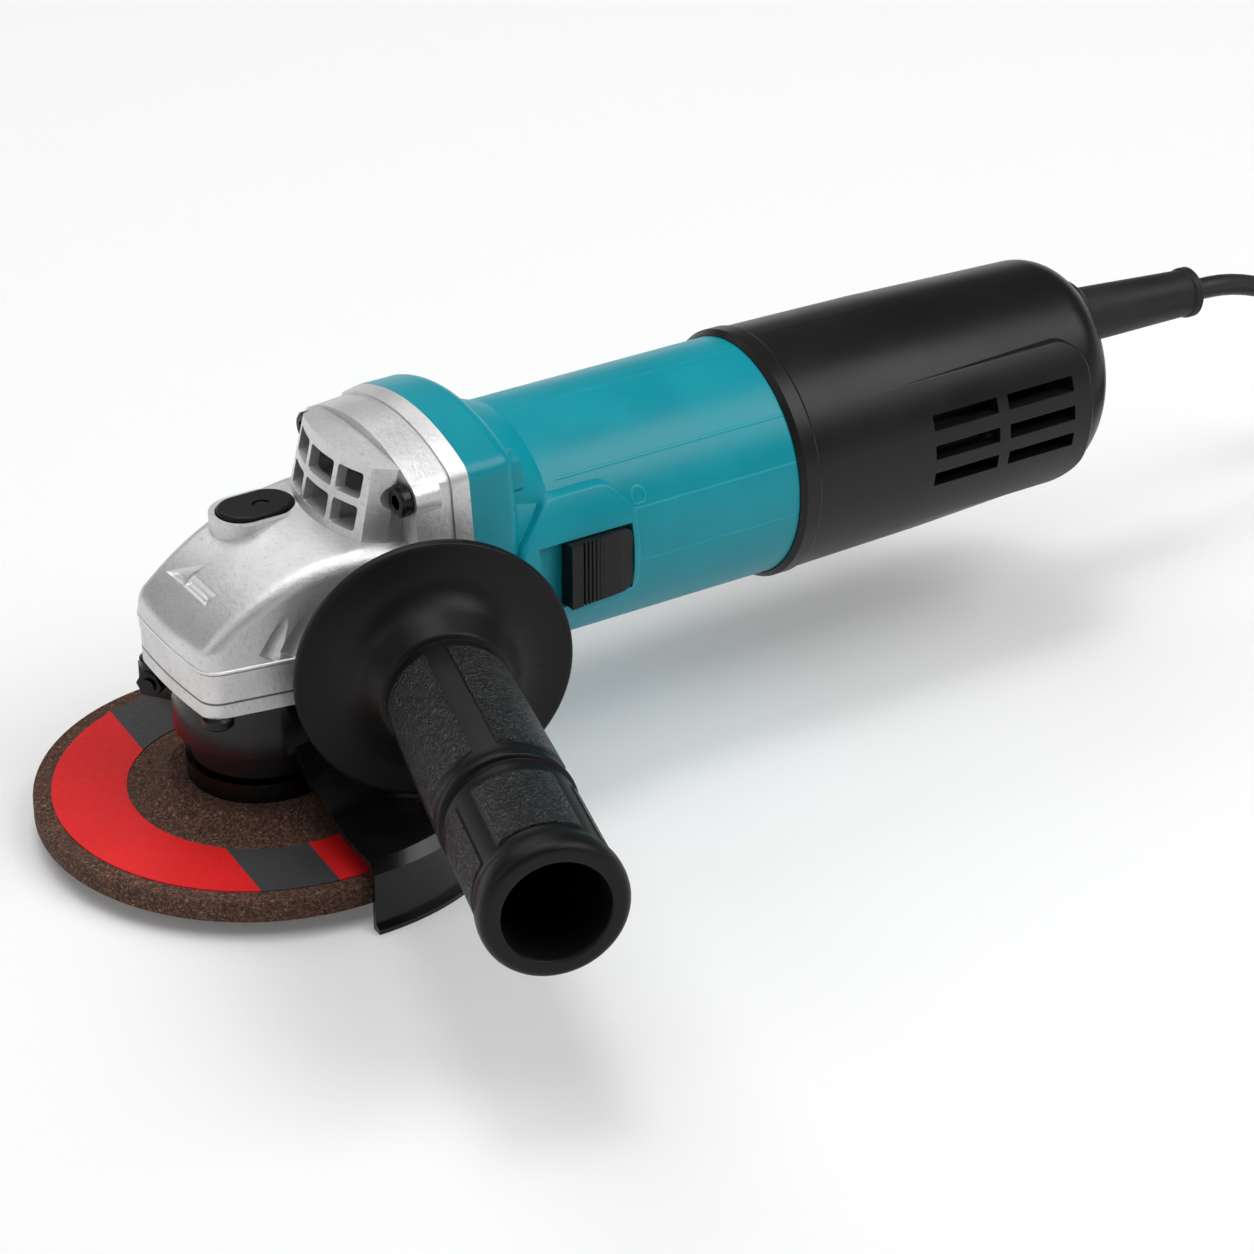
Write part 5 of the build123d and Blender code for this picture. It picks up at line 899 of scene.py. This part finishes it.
def photo_camera(scene, stage):
    """Camera whose right, up and back directions follow from azimuth and elevation."""
    a, e = stage.azimuth, stage.elevation
    right = np.array([np.cos(a), np.sin(a), 0.0])
    back = np.array([np.sin(a) * np.cos(e), -np.cos(a) * np.cos(e), np.sin(e)])
    up = np.cross(back, right)
    place = np.array(CAMERA_OFFSET) @ np.stack([right, up, back]) * MM
    data = bpy.data.cameras.new("camera")
    data.lens = stage.lens
    data.sensor_width = 36.0
    data.clip_start, data.clip_end = 0.01, 50.0
    camera = bpy.data.objects.new("camera", data)
    rows = np.hstack([np.stack([right, up, back], axis=1), place[:, None]])
    camera.matrix_world = Matrix([*rows.tolist(), [0.0, 0.0, 0.0, 1.0]])
    scene.collection.objects.link(camera)
    scene.camera = camera


class GRINDER_PT_panel(Panel):
    """Lists the grinder's pieces and settings."""

    bl_idname = "GRINDER_PT_panel"
    bl_label = "Angle grinder"
    bl_space_type = "VIEW_3D"
    bl_region_type = "UI"
    bl_category = "Grinder"

    def draw(self, context):
        scene = context.scene
        for group in (scene.grinder_colours, scene.grinder_sizes, scene.grinder_stage):
            box = self.layout.box()
            for name in group.__annotations__:
                box.prop(group, name)
        for operator in PIECES:
            self.layout.operator(operator.bl_idname)


PIECES = (
    GRINDER_OT_finishes, GRINDER_OT_grip, GRINDER_OT_cord, GRINDER_OT_lock_spring, GRINDER_OT_stage,
)
CLASSES = (GrinderColours, GrinderSizes, GrinderStage, *PIECES, GRINDER_PT_panel)


def register():
    for cls in CLASSES:
        bpy.utils.register_class(cls)
    bpy.types.Scene.grinder_colours = PointerProperty(type=GrinderColours)
    bpy.types.Scene.grinder_sizes = PointerProperty(type=GrinderSizes)
    bpy.types.Scene.grinder_stage = PointerProperty(type=GrinderStage)


def unregister():
    del bpy.types.Scene.grinder_stage
    del bpy.types.Scene.grinder_sizes
    del bpy.types.Scene.grinder_colours
    for cls in reversed(CLASSES):
        bpy.utils.unregister_class(cls)


def main():
    register()
    bpy.ops.grinder.finishes()
    bpy.ops.grinder.grip()
    bpy.ops.grinder.cord()
    bpy.ops.grinder.lock_spring()
    bpy.ops.grinder.stage()
    bpy.context.view_layer.update()


if __name__ == "__main__":
    main()
